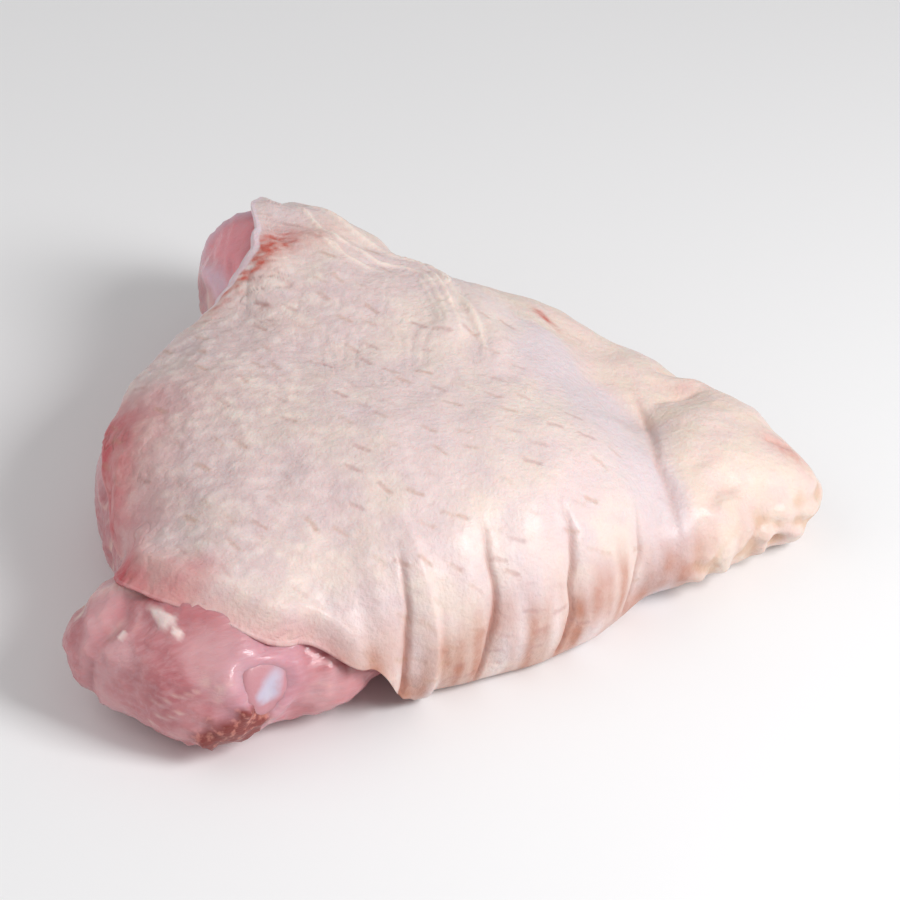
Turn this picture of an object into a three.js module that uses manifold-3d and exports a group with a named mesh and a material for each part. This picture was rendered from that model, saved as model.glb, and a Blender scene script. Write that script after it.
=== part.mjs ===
// A raw bone-in chicken thigh, lying skin side up: the skin with its fat, the meat under it and the
// thigh bone that runs through the meat. Millimetres, +Z up, origin under the middle of the piece.
import * as THREE from 'three';
import { mergeVertices } from 'three/addons/utils/BufferGeometryUtils.js';
import Module from 'manifold-3d';

// The piece is set out on a plan grid, and this grid point lies under the middle of the piece.
const PLAN_CENTRE = [128.1, 73.96];

const SKIN_THICKNESS = 1.9;
const SKIN_GAP = 0.8;
const BONE_GAP = 0.4;

// How widely the skin's and the meat's feet are rounded, and how softly the fat runs into the skin.
const SKIN_FOOT = 3;
const MEAT_FOOT = 6;
const FAT_BLEND = 6;

// A lobe is a rounded lump: its centre on the plan grid and height, its three radii, its turn about
// the vertical in degrees, and how softly it runs into the lobes before it.
const MEAT_LOBES = [
  { at: [112, 60, 12.5], radii: [41, 36, 20.5], turn: 38, blend: 0 },
  { at: [104, 82, 11], radii: [30, 18, 17], turn: 50, blend: 10 },
  { at: [83, 37, 11], radii: [25, 17, 15], turn: 38, blend: 9 },
  { at: [67, 40, 13], radii: [13, 10, 9], turn: 30, blend: 8 },
  { at: [132.5, 104, 15], radii: [15.5, 25.5, 18.8], turn: -13, blend: 14 },
  { at: [134, 42, 11], radii: [36, 25, 21], turn: 4, blend: 12 },
  { at: [149, 79, 12], radii: [22, 26.5, 18.5], turn: 9, blend: 14 },
  { at: [128, 118.5, 20], radii: [9, 13, 10.5], turn: -32, blend: 6 },
  { at: [94, 26.5, 7.5], radii: [12, 9.5, 9], turn: 0, blend: 6 },
];

// The band of fat along the back and the loose flap of fatty skin at the far end.
const FAT_LOBES = [
  { at: [144, 111, 13], radii: [19, 13, 12.3], turn: -51, blend: 0 },
  { at: [167, 84.5, 11], radii: [20, 13, 12.7], turn: -52, blend: 8 },
  { at: [177.5, 63.5, 10.5], radii: [14, 16, 10.5], turn: -20, blend: 8 },
  { at: [178.5, 39.5, 10.5], radii: [15, 25, 12.5], turn: -50, blend: 5 },
  { at: [188.5, 35, 9], radii: [13.5, 11, 10], turn: -7, blend: 5 },
];

// The skin's free edge, as an elevation for each bearing about the core: 90 is straight up, 0 level,
// and at -62 the edge is tucked under the piece.
const SKIN_EDGE = [
  { bearing: 50, elevation: -62 },
  { bearing: 60, elevation: -44 },
  { bearing: 70, elevation: 0 },
  { bearing: 79, elevation: 60 },
  { bearing: 85, elevation: 80 },
  { bearing: 93, elevation: 82 },
  { bearing: 99, elevation: 78 },
  { bearing: 112, elevation: 60 },
  { bearing: 140, elevation: 46 },
  { bearing: 168, elevation: 34 },
  { bearing: 190, elevation: 28 },
  { bearing: 199, elevation: 48 },
  { bearing: 208, elevation: 60 },
  { bearing: 218, elevation: 59 },
  { bearing: 230, elevation: 42 },
  { bearing: 240, elevation: 12 },
  { bearing: 249, elevation: -20 },
  { bearing: 262, elevation: -62 },
];

// The meat keeps clear of the tucked skin from this many degrees beside it. Where the skin's edge is
// above the first elevation of TUCKED, the meat's side goes down to its own foot. Below the second it
// ends this many degrees past the edge.
const TUCK_MARGIN = 8;
const PAST_EDGE = 4;
const MEAT_LOWEST = -70;
const TUCKED = { from: -20, to: -50 };

// The most that the skin stands off the meat where its edge turns from the side to underneath.
const STAND_OFF = 1.2;

// Raised folds and strings on the skin, as lines on the plan grid.
const SKIN_FOLDS = [
  { line: [[134, 118], [141, 110], [147, 101], [150, 92], [148, 80], [145, 73]], height: 1.2, width: 3.2 },
  { line: [[136, 104], [141, 98], [147, 95]], height: 0.8, width: 3 },
  { line: [[147, 98], [153, 92], [154, 82], [152, 70], [148, 62]], height: 1, width: 3.2 },
];
const FOLD_FADE = { from: 18, to: 24 };

// The lip, where the cut edge of the skin curls up off the meat.
const LIP = { bearing: 88, spread: 16, lift: 2.6, reach: 16, innerShare: 0.6 };

// Soft hollows down the front of the skin, at these places along it. They fade out behind the front
// and toward the floor.
const FRONT_HOLLOWS = { places: [110, 123.5, 140.5, 157], depth: 0.9, width: 2.6 };
const FRONT_FADE = { from: 26, to: 18 };
const FLOOR_FADE = { from: 1, to: 8 };

// The thigh bone: its shaft between two points, with the knuckles at the knee end and the ball and
// shoulder at the hip end, each as a centre and a radius.
const BONE_SHAFT = { from: [84, 29, 12.5], to: [139, 76, 13], radius: 4.1, bow: 1.6 };
const BONE_ENDS = [
  { at: [80, 23, 12.5], radius: 7.2 },
  { at: [86, 28, 12.5], radius: 6.4 },
  { at: [143, 77, 13], radius: 5.6 },
  { at: [138, 81, 12], radius: 5 },
];
const BONE_BLEND = 5;

// The flat disc inside the piece that the surfaces are laid out from: how far its rim stays inside the
// skin and the meat, and how far its outline is smoothed.
const CORE = { at: [120, 64], height: 10, skinRim: 22, meatRim: 15, smoothing: 8, bearings: 360 };

// How finely the surfaces are laid out.
const SKIN_COLUMNS = 24;
const SKIN_ROWS = 10;
const MEAT_COLUMNS = 18;
const MEAT_ROWS = 13;
const BONE_SIDES = 16;
const BONE_STEPS = 14;
const BONE_END_STEPS = 5;
const PROFILE_STEPS = 72;
const RAY_STEPS = 60;
const RAY_STRIDE = 0.8;

const RADIANS = Math.PI / 180;

const onPlan = ([x, y, z = 0]) => new THREE.Vector3(x - PLAN_CENTRE[0], y - PLAN_CENTRE[1], z);

// Smooth union of two distances.
function blended(a, b, softness) {
  if (softness <= 0 || a === Infinity) return Math.min(a, b);
  const h = Math.max(softness - Math.abs(a - b), 0) / softness;
  return Math.min(a, b) - h * h * softness / 4;
}

// The part of a solid that is above a level, with a rounded foot.
const above = (distance, p, level, foot) => -blended(-distance, p.z - level, foot);

function makeLobe({ at, radii, turn, blend }) {
  const centre = onPlan(at);
  const c = Math.cos(turn * RADIANS);
  const s = Math.sin(turn * RADIANS);
  const [a, b, h] = radii;
  const distance = (p) => {
    const dx = p.x - centre.x;
    const dy = p.y - centre.y;
    const x = (c * dx + s * dy) / a;
    const y = (c * dy - s * dx) / b;
    const z = (p.z - centre.z) / h;
    const size = Math.hypot(x, y, z);
    const slope = Math.hypot(x / a, y / b, z / h);
    return size * (size - 1) / Math.max(slope, 1e-4);
  };
  return { distance, blend };
}

function joinLobes(table) {
  const lobes = table.map(makeLobe);
  return (p) => lobes.reduce((total, { distance, blend }) => blended(total, distance(p), blend), Infinity);
}

const meatShape = joinLobes(MEAT_LOBES);
const fatShape = joinLobes(FAT_LOBES);
const skinShape = (p) => blended(meatShape(p) - SKIN_GAP - SKIN_THICKNESS, fatShape(p), FAT_BLEND);

// Walks outward from inside a shape to its surface.
function walk(shape, start, way) {
  const p = start.clone();
  let reach = 0;
  for (let i = 0; i < RAY_STEPS; i++) {
    reach = Math.max(reach - RAY_STRIDE * shape(p), 0);
    p.copy(start).addScaledVector(way, reach);
  }
  return p;
}

// Runs smoothly from 0 to 1 while a value goes from one end to the other, in either direction.
function smoothStep(from, to, value) {
  const share = THREE.MathUtils.clamp((value - from) / (to - from), 0, 1);
  return share * share * (3 - 2 * share);
}

// The edge's elevation at a bearing, running smoothly between the table's rows.
function edgeAt(bearing) {
  const rows = SKIN_EDGE;
  const turned = THREE.MathUtils.euclideanModulo(bearing - rows[0].bearing, 360) + rows[0].bearing;
  for (let i = 0; i < rows.length; i++) {
    const next = rows[(i + 1) % rows.length];
    const end = i + 1 < rows.length ? next.bearing : next.bearing + 360;
    if (turned <= end) {
      const share = smoothStep(rows[i].bearing, end, turned);
      return THREE.MathUtils.lerp(rows[i].elevation, next.elevation, share);
    }
  }
  return rows[0].elevation;
}

// A core is a flat disc inside a shape. Every surface point is reached from it: straight up or down
// from the disc, or along a fan of rays from its rim. The skin's core also runs into the flap.
const CORE_BEARINGS = Array.from({ length: CORE.bearings }, (_, i) => i / CORE.bearings * 2 * Math.PI);
const coreCentre = onPlan([...CORE.at, CORE.height]);

function reachOf(shape, bearing) {
  const way = new THREE.Vector3(Math.cos(bearing), Math.sin(bearing), 0);
  return walk(shape, coreCentre, way).distanceTo(coreCentre);
}

function makeCore(reaches) {
  const centre = coreCentre;
  const count = CORE.bearings;
  // A rounded outline: the mean and the first few waves of the reaches.
  const waves = [];
  for (let k = 0; k <= 3 * CORE.smoothing; k++) {
    let a = 0;
    let b = 0;
    reaches.forEach((reach, i) => {
      a += reach * Math.cos(k * i / count * 2 * Math.PI);
      b += reach * Math.sin(k * i / count * 2 * Math.PI);
    });
    const weight = Math.exp(-((k / CORE.smoothing) ** 2)) * (k ? 2 : 1) / count;
    waves.push({ k, a: a * weight, b: b * weight });
  }
  const radius = (t) => waves.reduce((sum, { k, a, b }) => {
    return sum + a * Math.cos(k * t) + b * Math.sin(k * t);
  }, 0);
  const slope = (t) => waves.reduce((sum, { k, a, b }) => {
    return sum + k * (b * Math.cos(k * t) - a * Math.sin(k * t));
  }, 0);
  const point = (share, t) => {
    const r = radius(t) * share;
    return new THREE.Vector3(centre.x + r * Math.cos(t), centre.y + r * Math.sin(t), centre.z);
  };
  // Halfway between square to the outline and straight from the centre, so that rays never cross.
  const outward = (t) => {
    const r = radius(t);
    const d = slope(t);
    const square = new THREE.Vector2(r * Math.cos(t) + d * Math.sin(t), r * Math.sin(t) - d * Math.cos(t));
    return square.normalize().add(new THREE.Vector2(Math.cos(t), Math.sin(t))).normalize();
  };
  return { point, outward };
}

const outline = CORE_BEARINGS.map((bearing) => reachOf(skinShape, bearing));
const skinReaches = outline.map((reach) => reach - CORE.skinRim);
const meatReaches = CORE_BEARINGS.map((bearing) => reachOf(meatShape, bearing) - CORE.meatRim);
const skinCore = makeCore(skinReaches);
const meatCore = makeCore(meatReaches.map((reach, i) => Math.min(reach, skinReaches[i])));

function rimRay(core, t, elevation) {
  const out = core.outward(t);
  const level = Math.cos(elevation * RADIANS);
  return new THREE.Vector3(out.x * level, out.y * level, Math.sin(elevation * RADIANS));
}

// Points of a shape down one side, at even spacing from the top rim to an elevation.
function sideProfile(core, shape, t, lowest, rows) {
  const start = core.point(1, t);
  const points = [];
  for (let i = 0; i <= PROFILE_STEPS; i++) {
    const elevation = THREE.MathUtils.lerp(90, lowest, i / PROFILE_STEPS);
    const point = walk(shape(elevation, t), start, rimRay(core, t, elevation));
    points.push({ point, elevation });
  }
  const lengths = [0];
  for (let i = 1; i < points.length; i++) {
    lengths.push(lengths[i - 1] + points[i].point.distanceTo(points[i - 1].point));
  }
  const total = lengths[lengths.length - 1];
  const profile = [];
  let i = 1;
  for (let row = 0; row <= rows; row++) {
    const wanted = total * row / rows;
    while (i < points.length - 1 && lengths[i] < wanted) i++;
    const share = (wanted - lengths[i - 1]) / Math.max(lengths[i] - lengths[i - 1], 1e-6);
    const point = points[i - 1].point.clone().lerp(points[i].point, share);
    const elevation = THREE.MathUtils.lerp(points[i - 1].elevation, points[i].elevation, share);
    profile.push({ point, elevation });
  }
  return profile;
}

// Bearings spread so that columns stand evenly round the outline, given their even bearing.
function makeSpread() {
  const count = CORE.bearings;
  const point = (i) => {
    const bearing = CORE_BEARINGS[i % count];
    return new THREE.Vector2(Math.cos(bearing), Math.sin(bearing)).multiplyScalar(outline[i % count]);
  };
  const lengths = [0];
  for (let i = 1; i <= count; i++) lengths.push(lengths[i - 1] + point(i).distanceTo(point(i - 1)));
  const turn = 2 * Math.PI;
  return (t) => {
    const wanted = t / turn * lengths[count];
    let i = 1;
    while (i < count && lengths[i] < wanted) i++;
    const share = (wanted - lengths[i - 1]) / (lengths[i] - lengths[i - 1]);
    return (i - 1 + share) / count * turn;
  };
}

const spread = makeSpread();

// Share of the disc's radius and bearing of a point of the square from -1 to 1. The square's sides
// bulge out to the disc's rim, and the bearings are spread more toward the rim.
function squareToDisc(a, b) {
  const x = a * Math.sqrt(1 - b * b / 2);
  const y = b * Math.sqrt(1 - a * a / 2);
  const share = Math.hypot(x, y);
  const even = THREE.MathUtils.euclideanModulo(Math.atan2(y, x), 2 * Math.PI);
  return { share, t: THREE.MathUtils.lerp(even, spread(even), share * share) };
}

// A closed box of quads whose top, sides and bottom are laid onto a wrapped form.
function wrapBox(columns, rows, place) {
  const geometry = new THREE.BoxGeometry(2, 2, 2, columns, columns, rows);
  geometry.deleteAttribute('normal');
  geometry.deleteAttribute('uv');
  const merged = mergeVertices(geometry, 1e-5);
  const position = merged.getAttribute('position');
  for (let i = 0; i < position.count; i++) {
    const { share, t } = squareToDisc(position.getX(i), position.getY(i));
    const row = Math.round((1 - position.getZ(i)) / 2 * rows);
    const onSide = share > 1 - 1e-6;
    const p = place({ share, t, row, onSide });
    position.setXYZ(i, p.x, p.y, p.z);
  }
  return merged;
}

const UP = new THREE.Vector3(0, 0, 1);
const degrees = (t) => t / RADIANS;

// Where its edge turns from the side to under the piece, the skin stands a little off the meat.
function standOff(elevation, t) {
  const edge = edgeAt(degrees(t));
  return STAND_OFF * smoothStep(30, 0, edge) * smoothStep(-60, -40, edge) * smoothStep(90, 50, elevation);
}

const skinOutside = (elevation, t) => (p) =>
  above(skinShape(p) - standOff(elevation, t), p, 0, SKIN_FOOT);
const skinInside = (elevation, t) => (p) =>
  above(meatShape(p) - SKIN_GAP - standOff(elevation, t), p, SKIN_THICKNESS, SKIN_FOOT);

// The lowest that the skin's edge comes beside a bearing.
function lowestEdge(t) {
  const beside = [-TUCK_MARGIN, 0, TUCK_MARGIN];
  return Math.min(...beside.map((turn) => edgeAt(degrees(t) + turn)));
}

// Over the tucked skin the meat stands clear of it, and elsewhere it goes down to the floor.
const meatFloor = (t) => (SKIN_THICKNESS + SKIN_GAP) * smoothStep(20, -10, lowestEdge(t));
const meatOutside = (elevation, t) => (p) => above(meatShape(p), p, meatFloor(t), MEAT_FOOT);

// Distance on the plan from a point to a line.
function distanceToLine(p, line) {
  let nearest = Infinity;
  for (let i = 1; i < line.length; i++) {
    const a = onPlan(line[i - 1]);
    const b = onPlan(line[i]);
    const along = b.clone().sub(a);
    const from = new THREE.Vector3(p.x - a.x, p.y - a.y, 0);
    const share = THREE.MathUtils.clamp(from.dot(along) / along.lengthSq(), 0, 1);
    nearest = Math.min(nearest, from.addScaledVector(along, -share).length());
  }
  return nearest;
}

// How far the skin stands off its plain form at a point: the folds, the front's hollows and the lip.
function foldRelief(p) {
  const high = smoothStep(FOLD_FADE.from, FOLD_FADE.to, p.z);
  const heights = SKIN_FOLDS.map(({ line, height, width }) => {
    const d = distanceToLine(p, line) / width;
    return height * Math.exp(-d * d);
  });
  return high * Math.max(...heights);
}

function frontRelief(p) {
  const { places, depth, width } = FRONT_HOLLOWS;
  const nearFront = smoothStep(FRONT_FADE.from, FRONT_FADE.to, p.y + PLAN_CENTRE[1]);
  const hollow = places.reduce((sum, place) => {
    const d = (p.x + PLAN_CENTRE[0] - place) / width;
    return sum + Math.exp(-d * d);
  }, 0);
  return -depth * hollow * nearFront * smoothStep(FLOOR_FADE.from, FLOOR_FADE.to, p.z);
}

function lipLift(t, elevation) {
  const edge = edgeAt(degrees(t));
  const beside = (degrees(t) - LIP.bearing) / LIP.spread;
  const behind = (elevation - edge) / LIP.reach;
  return LIP.lift * Math.exp(-beside * beside - behind * behind);
}

function normalOf(shape, p) {
  const step = 0.2;
  const slope = (x, y, z) => {
    const ahead = p.clone().addScaledVector(new THREE.Vector3(x, y, z), step);
    const behind = p.clone().addScaledVector(new THREE.Vector3(x, y, z), -step);
    return shape(ahead) - shape(behind);
  };
  return new THREE.Vector3(slope(1, 0, 0), slope(0, 1, 0), slope(0, 0, 1)).normalize();
}

// The skin is one closed form: down its outside from the top to the free edge, round the edge, and
// back up its inside.
function makeSkin() {
  const sides = new Map();
  const sideAt = (t) => {
    const key = t.toFixed(5);
    if (!sides.has(key)) {
      const lowest = edgeAt(degrees(t));
      const outside = sideProfile(skinCore, skinOutside, t, lowest, SKIN_ROWS);
      const inside = sideProfile(meatCore, skinInside, t, lowest, SKIN_ROWS);
      sides.set(key, { outside, inside });
    }
    return sides.get(key);
  };
  // Raises a point along the skin's normal, and never below the floor.
  const raise = (point, amount) => {
    const raised = point.clone().addScaledVector(normalOf(skinShape, point), amount);
    raised.z = Math.max(raised.z, 0);
    return raised;
  };
  const lastRow = 2 * SKIN_ROWS + 1;
  return wrapBox(SKIN_COLUMNS, lastRow, ({ share, t, row, onSide }) => {
    const outer = row <= SKIN_ROWS;
    if (!onSide) {
      const lift = lipLift(t, 90) * smoothStep(LIP.innerShare, 1, share);
      const core = outer ? skinCore : meatCore;
      const shape = outer ? skinOutside(90, t) : skinInside(90, t);
      const top = walk(shape, core.point(share, t), UP);
      return raise(top, outer ? lift + foldRelief(top) : lift);
    }
    const { outside, inside } = sideAt(t);
    const { point, elevation } = outer ? outside[row] : inside[lastRow - row];
    const lift = lipLift(t, elevation);
    return raise(point, outer ? lift + foldRelief(point) + frontRelief(point) : lift);
  });
}

// The meat is closed by a flat underside that it lies on.
function makeMeat() {
  const sides = new Map();
  const sideAt = (t) => {
    const key = t.toFixed(5);
    if (!sides.has(key)) {
      const edge = lowestEdge(t);
      const tucked = smoothStep(TUCKED.from, TUCKED.to, edge);
      const lowest = THREE.MathUtils.lerp(MEAT_LOWEST, edge - PAST_EDGE, tucked);
      sides.set(key, sideProfile(meatCore, meatOutside, t, lowest, MEAT_ROWS - 1));
    }
    return sides.get(key);
  };
  return wrapBox(MEAT_COLUMNS, MEAT_ROWS, ({ share, t, row, onSide }) => {
    if (onSide && row < MEAT_ROWS) return sideAt(t)[row].point;
    if (row === 0) return walk(meatOutside(90, t), meatCore.point(share, t), UP);
    const foot = meatCore.point(share, t);
    foot.z = 0;
    return foot;
  });
}

// The bone is a capsule along its shaft, laid onto the shape of the shaft with its swollen ends.
const shaftFrom = onPlan(BONE_SHAFT.from);
const shaftTo = onPlan(BONE_SHAFT.to);
const shaft = new THREE.Line3(shaftFrom, shaftTo);

function boneShape(p, margin) {
  const share = shaft.closestPointToPointParameter(p, true);
  const axis = shaft.at(share, new THREE.Vector3());
  axis.z += BONE_SHAFT.bow * Math.sin(Math.PI * share);
  let distance = p.distanceTo(axis) - BONE_SHAFT.radius;
  for (const { at, radius } of BONE_ENDS) {
    distance = blended(distance, p.distanceTo(onPlan(at)) - radius, BONE_BLEND);
  }
  return distance - margin;
}

function makeBone(margin) {
  const length = shaft.distance();
  const geometry = new THREE.CapsuleGeometry(1, length, BONE_END_STEPS, BONE_SIDES, BONE_STEPS);
  geometry.deleteAttribute('normal');
  geometry.deleteAttribute('uv');
  const merged = mergeVertices(geometry, 1e-4);
  const position = merged.getAttribute('position');
  const capsuleAxis = new THREE.Vector3(0, 1, 0);
  const shaftAxis = shaftTo.clone().sub(shaftFrom).normalize();
  const turn = new THREE.Quaternion().setFromUnitVectors(capsuleAxis, shaftAxis);
  for (let i = 0; i < position.count; i++) {
    const local = new THREE.Vector3().fromBufferAttribute(position, i);
    const along = THREE.MathUtils.clamp(local.y, -length / 2, length / 2);
    const way = local.sub(new THREE.Vector3(0, along, 0)).normalize().applyQuaternion(turn);
    const start = shaft.at(along / length + 0.5, new THREE.Vector3());
    const p = walk((q) => boneShape(q, margin), start, way);
    position.setXYZ(i, p.x, p.y, p.z);
  }
  return merged;
}

// The meat is cut clear of the bone.
const wasm = await Module();
wasm.setup();

function toSolid(geometry) {
  const vertProperties = new Float32Array(geometry.getAttribute('position').array);
  const triVerts = new Uint32Array(geometry.getIndex().array);
  return new wasm.Manifold(new wasm.Mesh({ numProp: 3, vertProperties, triVerts }));
}

function toGeometry(solid) {
  const mesh = solid.getMesh();
  const geometry = new THREE.BufferGeometry();
  geometry.setAttribute('position', new THREE.BufferAttribute(mesh.vertProperties, 3));
  geometry.setIndex(new THREE.BufferAttribute(mesh.triVerts, 1));
  return geometry;
}

const skin = makeSkin();
const meat = toGeometry(toSolid(makeMeat()).subtract(toSolid(makeBone(BONE_GAP))));
const bone = makeBone(0);

function addPiece(group, name, geometry, look) {
  geometry.computeVertexNormals();
  const mesh = new THREE.Mesh(geometry, new THREE.MeshStandardMaterial(look));
  mesh.name = name;
  group.add(mesh);
}

const thigh = new THREE.Group();
addPiece(thigh, 'skin', skin, { color: 0xe3d0ca, roughness: 0.35, metalness: 0 });
addPiece(thigh, 'meat', meat, { color: 0xc9868c, roughness: 0.4, metalness: 0 });
addPiece(thigh, 'bone', bone, { color: 0xd9d3dc, roughness: 0.45, metalness: 0 });

export default thigh;
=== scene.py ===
# %% [markdown]
# # A raw chicken thigh with its bone
#
# The thigh lies skin side up. Pale skin is drawn over red meat, a band of yellowish fat runs down the
# back to a loose flap, and the knuckle of the bone shows at the knee end.
#
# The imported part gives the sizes. This script makes the surfaces that a camera sees close up: three
# pieces, the skin, the meat and the bone, each a closed mesh with its own finish.

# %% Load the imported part
import bpy
import numpy as np
from mathutils import Matrix, Vector
from mathutils.kdtree import KDTree


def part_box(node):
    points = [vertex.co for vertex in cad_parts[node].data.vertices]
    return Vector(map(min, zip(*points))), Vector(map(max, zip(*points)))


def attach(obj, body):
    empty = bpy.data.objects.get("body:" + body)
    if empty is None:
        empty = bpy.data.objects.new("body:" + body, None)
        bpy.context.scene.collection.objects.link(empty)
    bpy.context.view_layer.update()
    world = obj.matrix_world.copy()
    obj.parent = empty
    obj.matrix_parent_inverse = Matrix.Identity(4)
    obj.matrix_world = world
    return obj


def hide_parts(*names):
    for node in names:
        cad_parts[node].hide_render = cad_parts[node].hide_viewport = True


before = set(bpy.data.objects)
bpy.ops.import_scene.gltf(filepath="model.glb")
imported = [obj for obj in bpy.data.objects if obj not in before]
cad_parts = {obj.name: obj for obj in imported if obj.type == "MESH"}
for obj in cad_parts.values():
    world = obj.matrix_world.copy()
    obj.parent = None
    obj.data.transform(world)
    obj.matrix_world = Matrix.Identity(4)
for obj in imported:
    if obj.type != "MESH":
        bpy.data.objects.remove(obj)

scene = bpy.context.scene
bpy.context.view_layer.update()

# %% [markdown]
# ## Camera
#
# A camera can be placed by hand or by an angle. An angle and a distance are easier to reason about:
# the camera stands at the photograph's azimuth and elevation, aims a little above the floor under the
# thigh, and a long lens keeps the low perspective of a product shot.

# %% Camera
AZIMUTH = -31.5
ELEVATION = 37.0
ROLL = 4.6
DISTANCE = 0.798
AIM = Vector((0.0150, -0.00824, 0.012))
VIEW_WIDTH = 0.1636
SENSOR = 36.0
CLIP_START = 0.01


def make_camera():
    camera = bpy.data.objects.new("camera", bpy.data.cameras.new("camera"))
    scene.collection.objects.link(camera)
    a = np.radians(AZIMUTH)
    e = np.radians(ELEVATION)
    away = Vector((np.sin(a) * np.cos(e), -np.cos(a) * np.cos(e), np.sin(e)))
    turn = (-away).to_track_quat("-Z", "Y").to_matrix().to_4x4()
    roll = Matrix.Rotation(np.radians(ROLL), 4, "Z")
    camera.matrix_world = Matrix.Translation(AIM + away * DISTANCE) @ turn @ roll
    camera.data.sensor_width = SENSOR
    camera.data.lens = SENSOR * DISTANCE / VIEW_WIDTH
    camera.data.clip_start = CLIP_START
    scene.camera = camera
    print("lens, mm:", round(camera.data.lens, 1))


make_camera()

# %% [markdown]
# ## Light and floor
#
# Raw meat is photographed in soft light, so that its wet surface shows small, quiet highlights. The key
# lamp stands high at the front right and grazes the left of the thigh, where the skin's dimples show
# most. A weaker, larger lamp fills from the left, and a white world lifts the shadows. The floor is a
# pale sheet that isn't part of the object.

# %% Light and floor
LAMPS = {
    "key": {"power": 2.5, "size": 0.24, "at": Vector((0.24, -0.36, 0.38))},
    "fill": {"power": 0.6, "size": 0.5, "at": Vector((-0.36, 0.10, 0.36))},
}
WORLD_COLOUR = (1.0, 0.99, 0.985, 1.0)
WORLD_STRENGTH = 0.40
FLOOR_COLOUR = (0.86, 0.86, 0.87, 1.0)
FLOOR_ROUGHNESS = 0.7
FLOOR_HALF = 1.5


def make_lamp(name, power, size, at):
    lamp = bpy.data.objects.new(name, bpy.data.lights.new(name, "AREA"))
    lamp.data.energy = power
    lamp.data.size = size
    lamp.location = at
    lamp.rotation_mode = "QUATERNION"
    lamp.rotation_quaternion = (-at).to_track_quat("-Z", "Y")
    scene.collection.objects.link(lamp)


def make_world():
    world = bpy.data.worlds.new("studio")
    world.use_nodes = True
    background = world.node_tree.nodes["Background"]
    background.inputs["Color"].default_value = WORLD_COLOUR
    background.inputs["Strength"].default_value = WORLD_STRENGTH
    scene.world = world


def make_floor():
    mesh = bpy.data.meshes.new("floor")
    corners = [(FLOOR_HALF * x, FLOOR_HALF * y, 0) for x, y in ((-1, -1), (1, -1), (1, 1), (-1, 1))]
    mesh.from_pydata(corners, [], [(0, 1, 2, 3)])
    floor = bpy.data.objects.new("floor", mesh)
    scene.collection.objects.link(floor)
    material = bpy.data.materials.new("floor")
    material.use_nodes = True
    shader = material.node_tree.nodes["Principled BSDF"]
    shader.inputs["Base Color"].default_value = FLOOR_COLOUR
    shader.inputs["Roughness"].default_value = FLOOR_ROUGHNESS
    mesh.materials.append(material)


for name, lamp in LAMPS.items():
    make_lamp(name, **lamp)
make_world()
make_floor()
scene.view_settings.view_transform = "Standard"
scene.cycles.use_denoising = True

# %% [markdown]
# ## The thigh's form
#
# A sculptor would start from lumps of clay and smooth them together. The same can be done with numbers:
# each muscle is an egg-shaped lobe, and a smooth union runs them into one body. A function then gives
# the distance from any point to that body, and the skin is the same body grown outward and joined with
# the lobes of fat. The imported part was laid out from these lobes, so its solids and these surfaces
# agree. Lengths here are in millimetres until a mesh is made.

# %% Lobes and their smooth union
PLAN_CENTRE = np.array([128.1, 73.96, 0.0])
SKIN_THICKNESS = 1.9
SKIN_GAP = 0.8
SKIN_FOOT = 3.0
MEAT_FOOT = 6.0
FAT_BLEND = 6.0
NORMAL_STEP = 0.2
TINY = 1e-4

# Each lobe: its centre on the plan grid and height, its radii, its turn in degrees and its blend.
MEAT_LOBES = [
    ((112, 60, 12.5), (41, 36, 20.5), 38, 0),
    ((104, 82, 11), (30, 18, 17), 50, 10),
    ((83, 37, 11), (25, 17, 15), 38, 9),
    ((67, 40, 13), (13, 10, 9), 30, 8),
    ((132.5, 104, 15), (15.5, 25.5, 18.8), -13, 14),
    ((134, 42, 11), (36, 25, 21), 4, 12),
    ((149, 79, 12), (22, 26.5, 18.5), 9, 14),
    ((128, 118.5, 20), (9, 13, 10.5), -32, 6),
    ((94, 26.5, 7.5), (12, 9.5, 9), 0, 6),
]
FAT_LOBES = [
    ((144, 111, 13), (19, 13, 12.3), -51, 0),
    ((167, 84.5, 11), (20, 13, 12.7), -52, 8),
    ((177.5, 63.5, 10.5), (14, 16, 10.5), -20, 8),
    ((178.5, 39.5, 10.5), (15, 25, 12.5), -50, 5),
    ((188.5, 35, 9), (13.5, 11, 10), -7, 5),
]


def on_plan(x, y, z):
    return np.array([x, y, z], float) - PLAN_CENTRE


def turned(x, y, degrees):
    """Plan coordinates as seen from axes turned by an angle."""
    c = np.cos(np.radians(degrees))
    s = np.sin(np.radians(degrees))
    return c * x + s * y, c * y - s * x


def unit(v):
    return v / np.linalg.norm(v, axis=-1, keepdims=True)


def blended(a, b, softness):
    """Smooth union of two distances."""
    if softness <= 0:
        return np.minimum(a, b)
    h = np.maximum(softness - np.abs(a - b), 0) / softness
    return np.minimum(a, b) - h * h * softness / 4


def above(distance, p, level, foot):
    """The part of a solid above a level, with a rounded foot."""
    return -blended(-distance, p[..., 2] - level, foot)


def lobe_distance(p, at, radii, turn):
    q = p - on_plan(*at)
    x, y = turned(q[..., 0], q[..., 1], turn)
    scaled = np.stack([x, y, q[..., 2]], -1) / radii
    size = np.linalg.norm(scaled, axis=-1)
    slope = np.linalg.norm(scaled / radii, axis=-1)
    return size * (size - 1) / np.maximum(slope, TINY)


def joined(p, lobes):
    total = lobe_distance(p, *lobes[0][:3])
    for at, radii, turn, blend in lobes[1:]:
        total = blended(total, lobe_distance(p, at, radii, turn), blend)
    return total


def meat_shape(p):
    return joined(p, MEAT_LOBES)


def skin_shape(p):
    return blended(meat_shape(p) - SKIN_GAP - SKIN_THICKNESS, joined(p, FAT_LOBES), FAT_BLEND)


def normals_of(shape, p):
    return unit(np.stack([shape(p + step) - shape(p - step) for step in NORMAL_STEP * np.eye(3)], -1))


print("lobes of meat:", len(MEAT_LOBES), "lobes of fat:", len(FAT_LOBES))

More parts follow.
